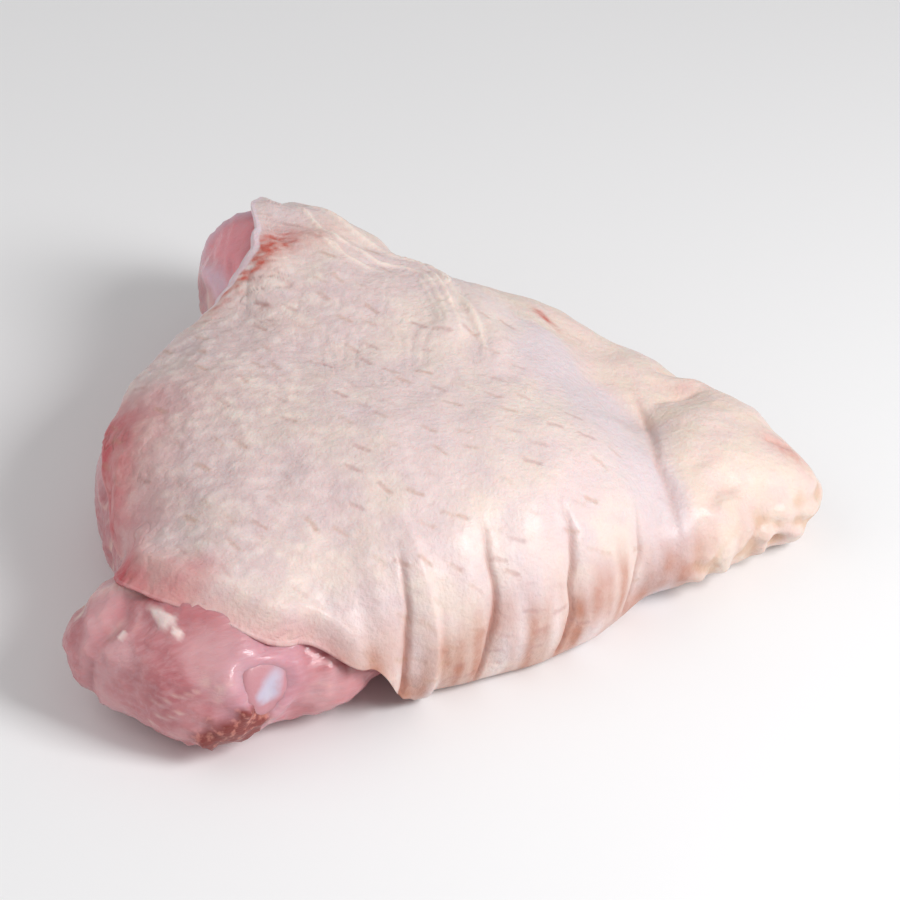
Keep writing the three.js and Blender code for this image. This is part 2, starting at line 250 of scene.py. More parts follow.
# %% [markdown]
# ## From a field to a mesh
#
# Marching cubes would turn the field into triangles, but they fall at random over the surface. Here
# every point is reached by a ray instead: up from a flat disc inside the thigh, or out from the disc's
# rim in a fan. That gives tidy rows, which end exactly at the skin's free edge, and each point knows
# how far along the skin it lies. Those distances make a chart, a flat map of the skin, and the pattern
# of the feather pits is drawn on that map.

# %% Rays from a core
CORE_CENTRE = on_plan(120, 64, 10)
CORE_SMOOTHING = 8
SKIN_RIM = 22.0
MEAT_RIM = 15.0
TURN = 2 * np.pi
BEARINGS = np.arange(360) / 360 * TURN
UP = np.array([0.0, 0.0, 1.0])
STRIDE = 0.8
WALK_STEPS = 60


def walk(shape, start, way, steps=WALK_STEPS):
    """Walks outward from inside a shape to its surface."""
    reach = np.zeros(start.shape[:-1])
    for _ in range(steps):
        reach = np.maximum(reach - STRIDE * shape(start + way * reach[..., None]), 0)
    return start + way * reach[..., None]


def smooth_step(low, high, value):
    share = np.clip((value - low) / (high - low), 0, 1)
    return share * share * (3 - 2 * share)


def compass(t):
    """Level unit vectors at bearings."""
    return np.stack([np.cos(t), np.sin(t), 0 * t], -1)


def reaches(shape):
    way = compass(BEARINGS)
    return np.linalg.norm(walk(shape, CORE_CENTRE + 0 * way, way) - CORE_CENTRE, axis=-1)


class Core:
    """A flat disc inside the thigh, with a rounded outline."""

    def __init__(self, reach):
        self.k = np.arange(3 * CORE_SMOOTHING + 1)
        weight = np.exp(-((self.k / CORE_SMOOTHING) ** 2)) * np.where(self.k > 0, 2, 1) / len(reach)
        self.a = weight * (np.cos(np.outer(self.k, BEARINGS)) @ reach)
        self.b = weight * (np.sin(np.outer(self.k, BEARINGS)) @ reach)

    def radius(self, t):
        angle = t[..., None] * self.k
        return (np.cos(angle) @ self.a + np.sin(angle) @ self.b)[..., None]

    def slope(self, t):
        angle = t[..., None] * self.k
        return (np.cos(angle) @ (self.k * self.b) - np.sin(angle) @ (self.k * self.a))[..., None]

    def point(self, share, t):
        return CORE_CENTRE + self.radius(t) * share * compass(t)

    def ray(self, t, elevation):
        """Direction halfway between square to the outline and straight from the centre."""
        square = self.radius(t) * compass(t) - self.slope(t) * compass(t + TURN / 4)
        out = unit(unit(square) + compass(t))
        e = np.radians(elevation)[..., None]
        return np.cos(e) * out + np.sin(e) * UP


outline = reaches(skin_shape)
skin_core = Core(outline - SKIN_RIM)
meat_core = Core(np.minimum(reaches(meat_shape) - MEAT_RIM, outline - SKIN_RIM))


def spread(t):
    """Bearings that stand evenly round the outline, given even bearings."""
    corner = compass(BEARINGS) * outline[:, None]
    steps = np.linalg.norm(np.roll(corner, -1, 0) - corner, axis=-1)
    lengths = np.concatenate([[0], np.cumsum(steps)])
    return np.interp(t / TURN * lengths[-1], lengths, np.append(BEARINGS, TURN))


def tell(what, values):
    print(what, round(float(np.min(values)), 2), "to", round(float(np.max(values)), 2))


tell("outline from the core's centre, mm:", outline)

# %% A square grid laid onto a disc
SIDE_SAMPLES = 90
SAMPLE_STEPS = 40


def square_to_disc(n):
    """Shares of the radius and bearings of a grid of n by n squares bulged out to a disc."""
    line = np.linspace(-1, 1, n + 1)
    a, b = np.meshgrid(line, line, indexing="ij")
    x = a * np.sqrt(1 - b * b / 2)
    y = b * np.sqrt(1 - a * a / 2)
    share = np.minimum(np.hypot(x, y), 1)
    even = np.arctan2(y, x) % TURN
    return share, even + (spread(even) - even) * share ** 2


def border(grid):
    """The outermost points of a grid, in order round it."""
    return np.concatenate([grid[-1, :-1], grid[::-1, -1][:-1], grid[0, ::-1][:-1], grid[:-1, 0]])


def side_points(core, shape, t, elevation, steps=WALK_STEPS):
    start = np.broadcast_to(core.point(1, t), elevation.shape + (3,))
    way = core.ray(np.broadcast_to(t, elevation.shape), elevation)
    return walk(lambda p: shape(p, elevation, t), start, way, steps)


def top_points(core, shape, share, t):
    return walk(lambda p: shape(p, 90.0, t), core.point(share[..., None], t), UP)


def even_elevations(core, shape, t, lowest, rows):
    """Elevations of points at even spacing down each side, and the length down to each of them."""
    elevation = 90 + (lowest - 90) * np.linspace(0, 1, SIDE_SAMPLES)[:, None]
    points = side_points(core, shape, t, elevation, SAMPLE_STEPS)
    steps = np.linalg.norm(np.diff(points, axis=0), axis=-1)
    lengths = np.concatenate([np.zeros((1, len(t))), np.cumsum(steps, 0)])
    along = np.linspace(0, lengths[-1], rows + 1)
    columns = [np.interp(along[:, i], lengths[:, i], elevation[:, i]) for i in range(len(t))]
    return np.stack(columns, -1), along


def listed(top, side):
    """One list of the points of a top's grid and of the rows below its border."""
    return np.concatenate([part.reshape((-1,) + top.shape[2:]) for part in (top, side[1:])])


def unlisted(points, n):
    """The grid of n by n squares and the rows that a list of points came from."""
    split = (n + 1) ** 2
    return points[:split].reshape(n + 1, n + 1, 3), points[split:].reshape(-1, 4 * n, 3)


# %% Closing a form
def closed_mesh(name, top, rings, bottom):
    """A mesh from a grid on top, rings of points down the side and a grid below."""
    corners = top.shape[0] ** 2
    first = np.arange(corners).reshape(top.shape[:2])
    ring_ids = corners + np.arange(rings[..., 0].size).reshape(rings.shape[:2])
    last = corners + rings[..., 0].size + first
    loops = np.concatenate([border(first)[None], ring_ids, border(last)[None]])
    upper, lower = loops[:-1], loops[1:]
    sides = np.stack([upper, lower, np.roll(lower, -1, 1), np.roll(upper, -1, 1)], -1)

    def cells(grid):
        return np.stack([grid[:-1, :-1], grid[1:, :-1], grid[1:, 1:], grid[:-1, 1:]], -1).reshape(-1, 4)

    points = np.concatenate([part.reshape(-1, 3) for part in (top, rings, bottom)])
    return new_piece(name, points, np.concatenate([cells(first), sides.reshape(-1, 4), cells(last)[:, ::-1]]))


def new_piece(name, points, quads, caps=()):
    """A smooth mesh object from points in millimetres, with its faces turned outward."""
    a, b, c, d = (points[quads[:, i]] for i in range(4))
    volume = np.einsum("ij,ij->", a, np.cross(b, c) + np.cross(c, d)) / 6
    order = 1 if volume > 0 else -1
    mesh = bpy.data.meshes.new(name)
    faces = quads[:, ::order].tolist() + [cap[::order].tolist() for cap in caps]
    mesh.from_pydata((points / 1000).tolist(), [], faces)
    mesh.shade_smooth()
    piece = bpy.data.objects.new(name, mesh)
    scene.collection.objects.link(piece)
    print(name, "faces:", len(faces), "volume, cm3:", round(abs(volume) / 1000, 1))
    return piece


def store(piece, name, values, rest=0.0):
    """Keeps a value for each point of a mesh, for its shader, and a rest value past the list's end."""
    missing = len(piece.data.vertices) - len(values)
    values = np.concatenate([values, np.full((missing,) + values.shape[1:], rest)]).astype(np.float32)
    kind, field = ("FLOAT", "value") if values.ndim == 1 else ("FLOAT_VECTOR", "vector")
    attribute = piece.data.attributes.new(name, kind, "POINT")
    attribute.data.foreach_set(field, values.ravel())


# %% [markdown]
# ## Seeded roughness
#
# Nothing on an animal is perfectly smooth. A sum of plane waves with random directions makes a smooth
# random height at any point, and a fixed seed gives the same heights on every run. Waves on points
# squeezed along one direction come out long and narrow, as wrinkles and muscle grain are.

# %% Random waves
WAVE_COUNT = 22
WAVE_LENGTHS = (1.4, 2.8)
FURROW_SHARPNESS = 1.5
FURROW_PATCH = {"size": 5, "range": (-0.6, 0.7)}


def waves(p, size, seed):
    """Smooth random values, mostly between -1.5 and 1.5, that change over about one size in mm."""
    rng = np.random.default_rng(seed)
    way = unit(rng.normal(size=(WAVE_COUNT, p.shape[-1])))
    pace = TURN / (size * rng.uniform(*WAVE_LENGTHS, WAVE_COUNT))
    phase = rng.uniform(0, TURN, WAVE_COUNT)
    total = np.zeros(p.shape[:-1])
    for w, k, f in zip(way, pace, phase):
        total += np.cos(p @ (w * k) + f)
    return total * np.sqrt(2 / WAVE_COUNT)


def stretched(p, turn, length, width):
    """Points squeezed along a direction on the plan."""
    x, y = turned(p[:, 0], p[:, 1], turn)
    return np.stack([x / length, y / width, p[:, 2] / width], -1)


def wrinkles(p, turn, length, width, seed):
    """Thin furrows from 0 to 1 that run along a direction and come and go."""
    folded = np.abs(waves(stretched(p, turn, length, width), 1, seed))
    furrow = np.clip(1 - FURROW_SHARPNESS * folded, 0, 1) ** 2
    return furrow * smooth_step(*FURROW_PATCH["range"], waves(p, FURROW_PATCH["size"], seed + 1))


# %% Bumps and lines on the plan
def bump(distance, width):
    return np.exp(-((distance / width) ** 2))


def between(value, low, high, softness):
    """1 between two values, fading to 0 on both sides of them."""
    rise = smooth_step(low - softness, low + softness, value)
    return rise * smooth_step(high + softness, high - softness, value)


def along_line(p, line):
    """Distance on the plan to a line, and the share of the line's length at the nearest place on it."""
    points = np.array(line, float) - PLAN_CENTRE[:2]
    lengths = np.linalg.norm(np.diff(points, axis=0), axis=-1)
    starts = np.concatenate([[0], np.cumsum(lengths)]) / lengths.sum()
    nearest = np.full(len(p), np.inf)
    progress = np.zeros(len(p))
    for k, (a, b) in enumerate(zip(points[:-1], points[1:])):
        offset = p[:, :2] - a
        share = np.clip(offset @ (b - a) / lengths[k] ** 2, 0, 1)
        distance = np.linalg.norm(offset - share[:, None] * (b - a), axis=-1)
        closer = distance < nearest
        nearest = np.where(closer, distance, nearest)
        progress = np.where(closer, starts[k] + share * (starts[k + 1] - starts[k]), progress)
    return nearest, progress


def near_line(p, line):
    return along_line(p, line)[0]


def spot(p, at, radii, turn=0.0):
    """1 at a place on the plan grid, fading away over an oval."""
    x, y = turned(p[:, 0] - at[0], p[:, 1] - at[1], turn)
    return bump(x, radii[0]) * bump(y, radii[1])


# %% [markdown]
# ## The skin's edge, folds and lip
#
# The skin was cut from the bird, so it ends in a free edge. The edge is high over the meat at the back
# left, drops at the knee, and is tucked under the front and the far side. A table gives its elevation
# for each bearing. At the back the edge curls up into a lip, low folds fan out from it over the dome,
# and the front wall has upright hollows with a sharp crease in each.

# %% The free edge
SKIN_EDGE = [
    (50, -62), (60, -44), (70, 0), (77, 60), (81, 79), (84, 86), (88, 86), (92, 83), (97, 75), (103, 65),
    (110, 57), (140, 46), (168, 34), (190, 28), (199, 48), (208, 60), (218, 59), (230, 42), (240, 12),
    (249, -20), (262, -62),
]
EDGE_RIPPLE = 1.4
RIPPLE_REACH = 60
STAND_OFF = 1.2


def edge_at(bearing):
    """The edge's elevation at bearings in degrees."""
    rows = np.array(SKIN_EDGE + [(SKIN_EDGE[0][0] + 360, SKIN_EDGE[0][1])], float)
    turned_on = (bearing - rows[0, 0]) % 360 + rows[0, 0]
    i = np.clip(np.searchsorted(rows[:, 0], turned_on, side="right") - 1, 0, len(rows) - 2)
    share = smooth_step(rows[i, 0], rows[i + 1, 0], turned_on)
    return rows[i, 1] + (rows[i + 1, 1] - rows[i, 1]) * share


def rippled_edge(t):
    """The edge with the small waves of a cut, where it lies open on the meat."""
    edge = edge_at(np.degrees(t))
    open_edge = smooth_step(15, 35, edge) * smooth_step(84, 70, edge)
    return edge + EDGE_RIPPLE * waves(RIPPLE_REACH * compass(t)[:, :2], 9, 3) * open_edge


def stand_off(elevation, t):
    """How far the skin stands off the meat where its edge turns under."""
    edge = edge_at(np.degrees(t))
    turning = smooth_step(30, 0, edge) * smooth_step(-60, -40, edge)
    return STAND_OFF * turning * smooth_step(90, 50, elevation)


def skin_outside(p, elevation, t):
    return above(skin_shape(p) - stand_off(elevation, t), p, 0, SKIN_FOOT)


def skin_inside(p, elevation, t):
    return above(meat_shape(p) - SKIN_GAP - stand_off(elevation, t), p, SKIN_THICKNESS, SKIN_FOOT)


# %% The skin's outer points and their chart
SKIN_GRID = 200
OUTER_ROWS = 130
INNER_ROWS = 36

share, bearing = square_to_disc(SKIN_GRID)
rim = border(bearing)
edge = rippled_edge(rim)
outer_elevation, outer_length = even_elevations(skin_core, skin_outside, rim, edge, OUTER_ROWS)
outer_side = side_points(skin_core, skin_outside, rim, outer_elevation)
outer_top = top_points(skin_core, skin_outside, share, bearing)

top_length = np.linalg.norm(outer_top - outer_top[SKIN_GRID // 2, SKIN_GRID // 2], axis=-1)
rim_length = border(top_length)
top_chart = top_length[..., None] * compass(bearing)
side_chart = (rim_length + outer_length)[..., None] * compass(rim)

outer = listed(outer_top, outer_side)
chart = listed(top_chart, side_chart)
outer_bearing = listed(bearing, np.broadcast_to(rim, outer_elevation.shape))
outer_rise = listed(np.full_like(bearing, 90.0), outer_elevation)
outer_share = listed(share, np.ones_like(outer_elevation))
degrees = np.degrees(outer_bearing)
plan = outer + PLAN_CENTRE
outward = normals_of(skin_shape, outer)
outer_step = outer_length[-1].mean() / OUTER_ROWS
print("outer points:", len(outer), "step down the side, mm:", outer_step.round(2))

# %% Folds, front hollows and the lip
FOLDS = [
    ([(134, 118), (141, 110), (147, 101), (150, 92), (148, 80), (145, 73)], 1.2, 3.2),
    ([(136, 104), (141, 98), (147, 95)], 0.8, 3.0),
    ([(147, 98), (153, 92), (154, 82), (152, 70), (148, 62)], 1.0, 3.2),
]
FOLD_FADE = (18, 24)
LIP = {"bearing": 88, "spread": 16, "lift": 2.6, "reach": 16, "inner_share": 0.6}
FRONT_PLACES = [107.5, 123.6, 140, 156.3]
FRONT_FADE = (29, 15)
FRONT_HOLLOW = {"depth": 0.9, "width": 2.6, "foot": (1, 8)}
FRONT_CREASE = {"depth": 0.9, "width": 0.55, "foot": (1, 5), "lean": 0.16, "middle": 15}


def ridge_height(p, lines):
    moved = p[:, :2] + 0.5 * np.stack([waves(p, 7, 11), waves(p, 7, 12)], -1)
    return np.max([height * bump(near_line(moved, line), width) for line, height, width in lines], 0)


def lip_lift(t, elevation):
    beside = (np.degrees(t) - LIP["bearing"]) / LIP["spread"]
    behind = (elevation - edge_at(np.degrees(t))) / LIP["reach"]
    return LIP["lift"] * np.exp(-beside ** 2 - behind ** 2)


def front_lines(p, form, across):
    """1 in the middle of each upright line of the front wall, fading over the width of its form."""
    near_front = smooth_step(*FRONT_FADE, p[:, 1] + PLAN_CENTRE[1]) * smooth_step(*form["foot"], p[:, 2])
    return near_front * sum(bump(across - place, form["width"]) for place in FRONT_PLACES)


raised = smooth_step(*FOLD_FADE, outer[:, 2])
folds = raised * ridge_height(outer, FOLDS)
hollows = front_lines(outer, FRONT_HOLLOW, plan[:, 0])
lean = FRONT_CREASE["lean"] * (outer[:, 2] - FRONT_CREASE["middle"])
front_crease = front_lines(outer, FRONT_CREASE, plan[:, 0] - lean + 0.3 * waves(outer, 5, 75))
lip = lip_lift(outer_bearing, outer_rise) * smooth_step(LIP["inner_share"], 1, outer_share)
tell("folds, mm:", folds)
tell("lip, mm:", lip)

# %% [markdown]
# ## Where the skin changes
#
# The dome is thick, dimpled skin. Toward the far side it thins to a smooth grey lilac, and the band and
# flap beyond are yellow with fat. The skin is flushed red beside the lip and pink at the knee, where
# the pink is also darkened as painted shade. Each of these is a mask from 0 to 1, worked out from where
# a point lies, how far it is from the skin's free edge and at what bearing, and the shader mixes
# colours by them.

# %% Distance to the free edge
KNEE_BEARINGS = (176, 236, 8)

order = np.argsort(rim)


def from_rim(values):
    """Values known round the rim, at the bearing of every point of the top."""
    return np.interp(bearing, rim[order], values[order], period=TURN)


top_to_edge = from_rim(outer_length[-1]) + np.maximum(from_rim(rim_length) - top_length, 0)
from_edge = listed(top_to_edge, outer_length[-1] - outer_length)
knee_edge = between(degrees, *KNEE_BEARINGS)
tell("skin from a point to its edge, mm:", from_edge)

# %% Masks of the skin
FAT_BORDER = [
    (147, 112), (151, 103), (156.9, 93), (158.8, 78), (170, 70), (172.5, 59.4), (172.5, 46.9), (168, 33),
]
THIN_BORDER = [(150, 96), (155, 86), (155, 76), (153, 66), (154, 54), (156, 40), (158, 26)]
BLUSH_CORE = ((124.6, 104.6), (4.6, 2.9), 26)
BLUSH_HAZE = ((131.0, 105.6), (8.5, 4.5), 5)
BLUSH_TAIL = [(121.5, 102.0), (118.4, 101.0), (114, 99.8), (110, 98.8)]
RED_SPOT = ((169.4, 77.8), (3.6, 1.7), -72)
FLAP_BLUSH = ((187.5, 57.5), (4.0, 3.2), -35)
FLAP_TIP = ((195.4, 34.6), (5.0, 3.0), -52)
SORE = {"from_edge": (11, 11), "bearing": (93, 17)}
LEFT_BEARINGS = (150, 196, 12)


def beyond(p, line, softness):
    """1 on the +X side of a line that runs from back to front, 0 on the other."""
    x, y = np.array(line, float)[::-1].T
    return smooth_step(-softness, softness, p[:, 0] - np.interp(p[:, 1], y, x))


soft = waves(outer, 9, 21)
fine = waves(outer, 3, 22)
streaky = 1 + 0.5 * waves(stretched(outer, -25, 3.0, 0.8), 1, 74)
moved = plan + np.stack([2.0 * soft, 2.0 * waves(outer, 9, 23), 0 * soft], -1)
near_plan = plan + 0.25 * (moved - plan)
fat = beyond(moved, FAT_BORDER, 4.0)
thin = beyond(moved, THIN_BORDER, 6.0) * (1 - fat)

blush_tail = bump(near_line(outer, BLUSH_TAIL), 2.2)
blush = streaky * (spot(near_plan, *BLUSH_CORE) + 0.45 * blush_tail) + 0.42 * spot(near_plan, *BLUSH_HAZE)
sore = bump(from_edge - SORE["from_edge"][0], SORE["from_edge"][1])
sore = sore * bump(degrees - SORE["bearing"][0], SORE["bearing"][1])
red_spot = np.clip(spot(moved, *RED_SPOT) * (1 + 0.3 * fine), 0, 1)
flap_pink = 0.22 * spot(moved, *FLAP_BLUSH) + 0.55 * spot(plan, *FLAP_TIP)

# Pink at the knee and the left edge is the thin skin's own pink over the meat, darkened as painted shade.
knee_corner = smooth_step(79, 66, moved[:, 0]) * smooth_step(86, 62, moved[:, 1])
left_edge = between(degrees, *LEFT_BEARINGS) * bump(from_edge, 13)
knee_pink = np.max([knee_corner, left_edge, 0.45 * knee_edge * bump(from_edge, 4)], 0)
streak = np.clip(0.58 + 0.24 * waves(stretched(outer, 0, 1.6, 9.0), 1, 73), 0, 1)
# The low front wall is tinted a darker tan in upright streaks. This is partly the skin's own warmer colour
# and partly painted shade.
front_warm = smooth_step(32, 20, moved[:, 1]) * smooth_step(24, 12, moved[:, 2])
front_warm = front_warm * streak * (1 - 0.6 * fat)
print("share of the skin that is fat:", fat.mean().round(2))

# %% [markdown]
# ## Feather pits
#
# A plucked skin keeps the pits that its feathers grew from, in staggered rows. Each is a soft tan slit
# that points the way the feather lay, and the skin between them is raised in small mounds, like goose
# flesh. Painting them one by one would be hopeless, so a lattice on the chart places them, with a
# seeded shift for each. Every mesh point keeps its offset from its nearest pit, along and across the
# slit, and the shader draws the slit from that offset, finer than the mesh itself.

# %% A lattice with a seeded shift for each place
LATTICE_TURN = -29.0
CHART_REACH = 130
ON_SKIN = 1.0
rng = np.random.default_rng(7)


def lattice(spacing, shift):
    """Staggered places on the chart, each moved by a seeded shift, and four random numbers for each."""
    rows = int(CHART_REACH / spacing[1])
    columns = int(CHART_REACH / spacing[0])
    j, i = np.mgrid[-rows:rows + 1, -columns:columns + 1].reshape(2, -1)
    draw = rng.uniform(-1, 1, (len(i), 4))
    u = (i + 0.5 * (j % 2) + shift * draw[:, 0]) * spacing[0]
    v = (j + shift * draw[:, 1]) * spacing[1]
    x, y = turned(u, v, -LATTICE_TURN)
    return np.stack([x, y, 0 * u], -1), draw


def search_tree(points):
    tree = KDTree(len(points))
    for i, point in enumerate(points):
        tree.insert(point, i)
    tree.balance()
    return tree


def nearest_places(places, points, count):
    """Indices of the nearest places to each point, and the distances to them, nearest first."""
    tree = search_tree(places)
    found = [[place[1:] for place in tree.find_n(point, count)] for point in points]
    index, distance = np.moveaxis(np.array(found), -1, 0)
    return index.astype(int), distance


chart_tree = search_tree(chart)


def set_down(places, draw):
    """The mesh points under a lattice's places, and the random numbers of those that are on the skin."""
    found = [chart_tree.find(place) for place in places]
    kept = np.array([distance < ON_SKIN for _, _, distance in found])
    index = np.array([i for _, i, _ in found])
    return index[kept], draw[kept]


# %% Feather pits and mounds
PIT_SPACING = (5.0, 6.0)
PIT_SHIFT = 0.32
PIT_REACH = (2.6, 2.0)
PIT_LEAN = ([45, 70, 90, 105], [47.6, 34, 19.04, 6.8])
LEAN_SPREAD = 14
MOUND_SPACING = (2.5, 2.9)
MOUND_SHIFT = 0.28
MOUND_RADIUS = 1.2
MOUND_FILL = 1.3
GRAIN_FADE = ([45, 65, 85, 110], [1.0, 0.6, 0.25, 0.1])
VIEW_RIGHT = compass(np.radians(AZIMUTH))
ACROSS_VIEW = (0.85, -0.52)
FAR_FADE = {"from": (90, 104), "by": 0.7}

rightward = ACROSS_VIEW[0] * plan[:, 0] + ACROSS_VIEW[1] * plan[:, 1]
far_up = 1 - FAR_FADE["by"] * smooth_step(*FAR_FADE["from"], plan[:, 1])


def slit_ways(index, draw):
    """Unit vectors along and across each slit. A slit leans from the level toward the foot of the skin."""
    normal = outward[index]
    level = unit(VIEW_RIGHT - (normal @ VIEW_RIGHT)[:, None] * normal)
    down = np.cross(level, normal)
    lean = np.interp(rightward[index], *PIT_LEAN) * far_up[index]
    angle = np.radians(lean + LEAN_SPREAD * draw[:, 3])[:, None]
    return np.cos(angle) * level + np.sin(angle) * down, np.cos(angle) * down - np.sin(angle) * level


pit_index, pit_draw = set_down(*lattice(PIT_SPACING, PIT_SHIFT))
pick, distance = nearest_places(outer[pit_index], outer, 2)
nearest = distance[:, 0]
offset = outer - outer[pit_index][pick[:, 0]]
along, across = (np.sum(offset * way[pick[:, 0]], -1) for way in slit_ways(pit_index, pit_draw))
kind = pit_draw[pick[:, 0], 2]
inside = smooth_step(*PIT_REACH, nearest) * smooth_step(0.1, 0.6, distance[:, 1] - nearest)

mound_index, mound_draw = set_down(*lattice(MOUND_SPACING, MOUND_SHIFT))
pick, distance = nearest_places(outer[mound_index], outer, 4)
height = (0.75 + 0.25 * mound_draw[pick, 2]) * bump(distance, MOUND_RADIUS)
goose = 1 - np.exp(-MOUND_FILL * height.sum(-1))

smooth_there = np.clip(1 - 0.75 * thin - 0.7 * fat, 0, 1) * (1 - 0.85 * knee_edge * bump(from_edge, 8))
pitted = smooth_there * smooth_step(1, 6, outer[:, 2])
grainy = pitted * np.interp(rightward, *GRAIN_FADE) * far_up
# Painted shade: the valleys between the mounds are darkened in colour, most on the left of the view.
valley = grainy * smooth_step(0.75, 0.35, goose)
print("pits:", len(pit_index), "mounds:", len(mound_index))

# %% Strings of skin and creases of the flap
STRINGS = [
    ([(136, 122), (139, 116), (140.6, 111.9), (142.4, 106.6), (144.4, 102.3), (146.8, 97.7), (150.5, 94.7),
      (150.3, 88.1), (149.1, 82.1), (148.1, 77.2), (146.7, 72.2), (144, 66)], 0.60, 0.50),
    ([(135.5, 118), (136.5, 112), (136.5, 106.8), (138, 102.4), (140.6, 99.3), (142.7, 95.4), (146.3, 93.6),
      (148.4, 89.7), (148.1, 84.8), (146.7, 79.7), (145.4, 74.7), (142.5, 68)], 0.50, 0.50),
    ([(148, 98.5), (151.9, 95.9), (152.7, 89.8), (151.7, 83), (151.2, 77.1), (150.1, 71.5), (148.4, 65.8),
      (146, 61)], 0.60, 0.55),
    ([(134, 106), (135.4, 102.1), (137.1, 97.3), (139.5, 94), (142.2, 92)], 0.40, 0.50),
    ([(147.4, 89), (146.6, 85.8), (146, 81.6), (144.9, 77), (143, 72)], 0.30, 0.45),
    ([(142.5, 109), (146.5, 103), (149.5, 99), (154, 95.5), (157.5, 88)], 0.30, 0.55),
]
STRING_TAPER = (0.14, 0.8)
FLAP_CREASES = [
    ([(178, 62), (176, 56.7), (174.6, 50.6), (170.8, 42.2), (167.3, 34.5), (166, 28), (164, 22), (163.4, 18)],
     0.8, 0.9),
    ([(191, 54.5), (186, 54.6), (181, 54.5), (177.5, 53)], 0.6, 0.9),
    ([(170.5, 30), (176, 33.5), (183, 34.5)], 0.25, 1.4),
    ([(197.5, 34.4), (194.5, 36), (191.5, 38)], 1.0, 0.8),
    ([(183.5, 50.5), (186, 46.5), (188.5, 44)], 0.2, 1.5),
    ([(185, 65.5), (188, 63.5), (190.5, 61)], 0.5, 1.0),
    ([(172, 24), (177, 27.5), (182, 28)], 0.5, 0.9),
]
CREASE_TAPER = (0.3, 0.75)
FLAP_KNUCKLE = ((188.2, 57.6), (4.6, 2.6), -40)


def thin_ridges(p, lines, wander, ends):
    """Ridges that taper at both ends, each with a slight hollow beside it."""
    ridge = np.zeros(len(p))
    hollow = np.zeros(len(p))
    for line, height, width in lines:
        distance, progress = along_line(p, line)
        taper = smooth_step(0, ends[0], progress) * smooth_step(1, ends[1], progress)
        ridge = np.maximum(ridge, taper * height * bump(distance + wander, width))
        hollow = np.maximum(hollow, taper * height * bump(distance, 3 * width))
    return ridge, hollow


strings, beside_strings = thin_ridges(outer, STRINGS, 0.15 * waves(outer, 3, 33), STRING_TAPER)
strings = strings * raised
flap_crease, _ = thin_ridges(outer + 0.5 * soft[:, None], FLAP_CREASES, 0, CREASE_TAPER)
flap_crease = flap_crease * smooth_step(4, 10, outer[:, 2])
tell("strings, mm:", strings)
tell("creases of the flap, mm:", flap_crease)

# %% Wrinkles, lumps and pleats
SLIT_WIDTH = 0.45
SLIT_HALF_LENGTH = 1.1
DRAPE_REACH = 6.5
DRAPE_ROLL = {"at": 5.5, "width": 2.2, "height": 0.25}

by_lip = smooth_step(1.5, 6, from_edge) * bump(np.maximum(from_edge - 10, 0), 14) * bump(degrees - 93, 20)
on_dome = between(plan[:, 0], 118, 156, 8) * between(plan[:, 1], 50, 92, 8) * (1 - fat)
at_knee = np.clip(knee_pink + 0.4 * knee_edge * bump(from_edge, 14), 0, 1)
lip_wrinkle = by_lip * wrinkles(outer, -36, 11.0, 1.7, 41)
dome_wrinkle = on_dome * wrinkles(outer, 58, 8.0, 1.5, 45)
knee_wrinkle = at_knee * wrinkles(outer, 25, 6.0, 1.5, 47)
rolling = waves(outer, 13, 43) + 0.5 * waves(outer, 5.5, 44)
fat_lumps = fat * (0.16 * (waves(outer, 6.5, 49) + 0.3 * waves(outer, 2.4, 50)) + 0.05 * goose)
low_flap = fat * between(outer[:, 2], 3, 13, 3) * smooth_step(-15, -25, outer[:, 1])
flap_pleats = low_flap * waves(stretched(outer, 70, 7.0, 2.4), 1, 71)
slit = pitted * inside * bump(across, SLIT_WIDTH) * between(along, -SLIT_HALF_LENGTH, SLIT_HALF_LENGTH, 0.5)
roll = DRAPE_ROLL["height"] * bump(from_edge - DRAPE_ROLL["at"], DRAPE_ROLL["width"])
drape = knee_edge * (1 - smooth_step(0, DRAPE_REACH, from_edge) - roll)
tell("pleats of the flap:", flap_pleats)

# %% Relief of the skin
# Each form and its height in mm, below 0 where it is a hollow.
RELIEF = [
    (folds + lip + strings, 1.0),
    (raised * beside_strings, -0.55),
    (hollows, -FRONT_HOLLOW["depth"]),
    (front_crease, -FRONT_CREASE["depth"]),
    (flap_crease, -1.0),
    (spot(plan, *FLAP_KNUCKLE), 2.4),
    (grainy * goose, 0.27),
    (slit, -0.05),
    (lip_wrinkle, -0.30),
    (dome_wrinkle, -0.22),
    (knee_wrinkle, -0.28),
    (rolling, 0.26),
    (fat_lumps, 1.0),
    (flap_pleats, 0.4),
    (drape, -2.1),
]
relief = sum(form * height for form, height in RELIEF) * smooth_step(-0.2, 2.0, outer[:, 2])
outer_raised = outer + outward * relief[:, None]
outer_raised[:, 2] = np.maximum(outer_raised[:, 2], 0)
tell("skin relief, mm:", relief)

# %% [markdown]
# ## Closing the skin
#
# Skin is a sheet with two sides. The outer rows run down to the edge, a few rows round it off, and the
# inner rows run back up between skin and meat. Near the open edge the sheet is thinner, as a cut skin
# is, and at the knee it clings to the meat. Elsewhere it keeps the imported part's thickness.

# %% The skin's inner points and its rounded edge
EDGE_THINNING = ([60, 88, 96, 150, 165], [0.95, 0.8, 1.35, 1.35, 0.95])
KNEE_CLING = 1.1
OPEN_EDGE = (5, 30)
EDGE_ROWS = 5

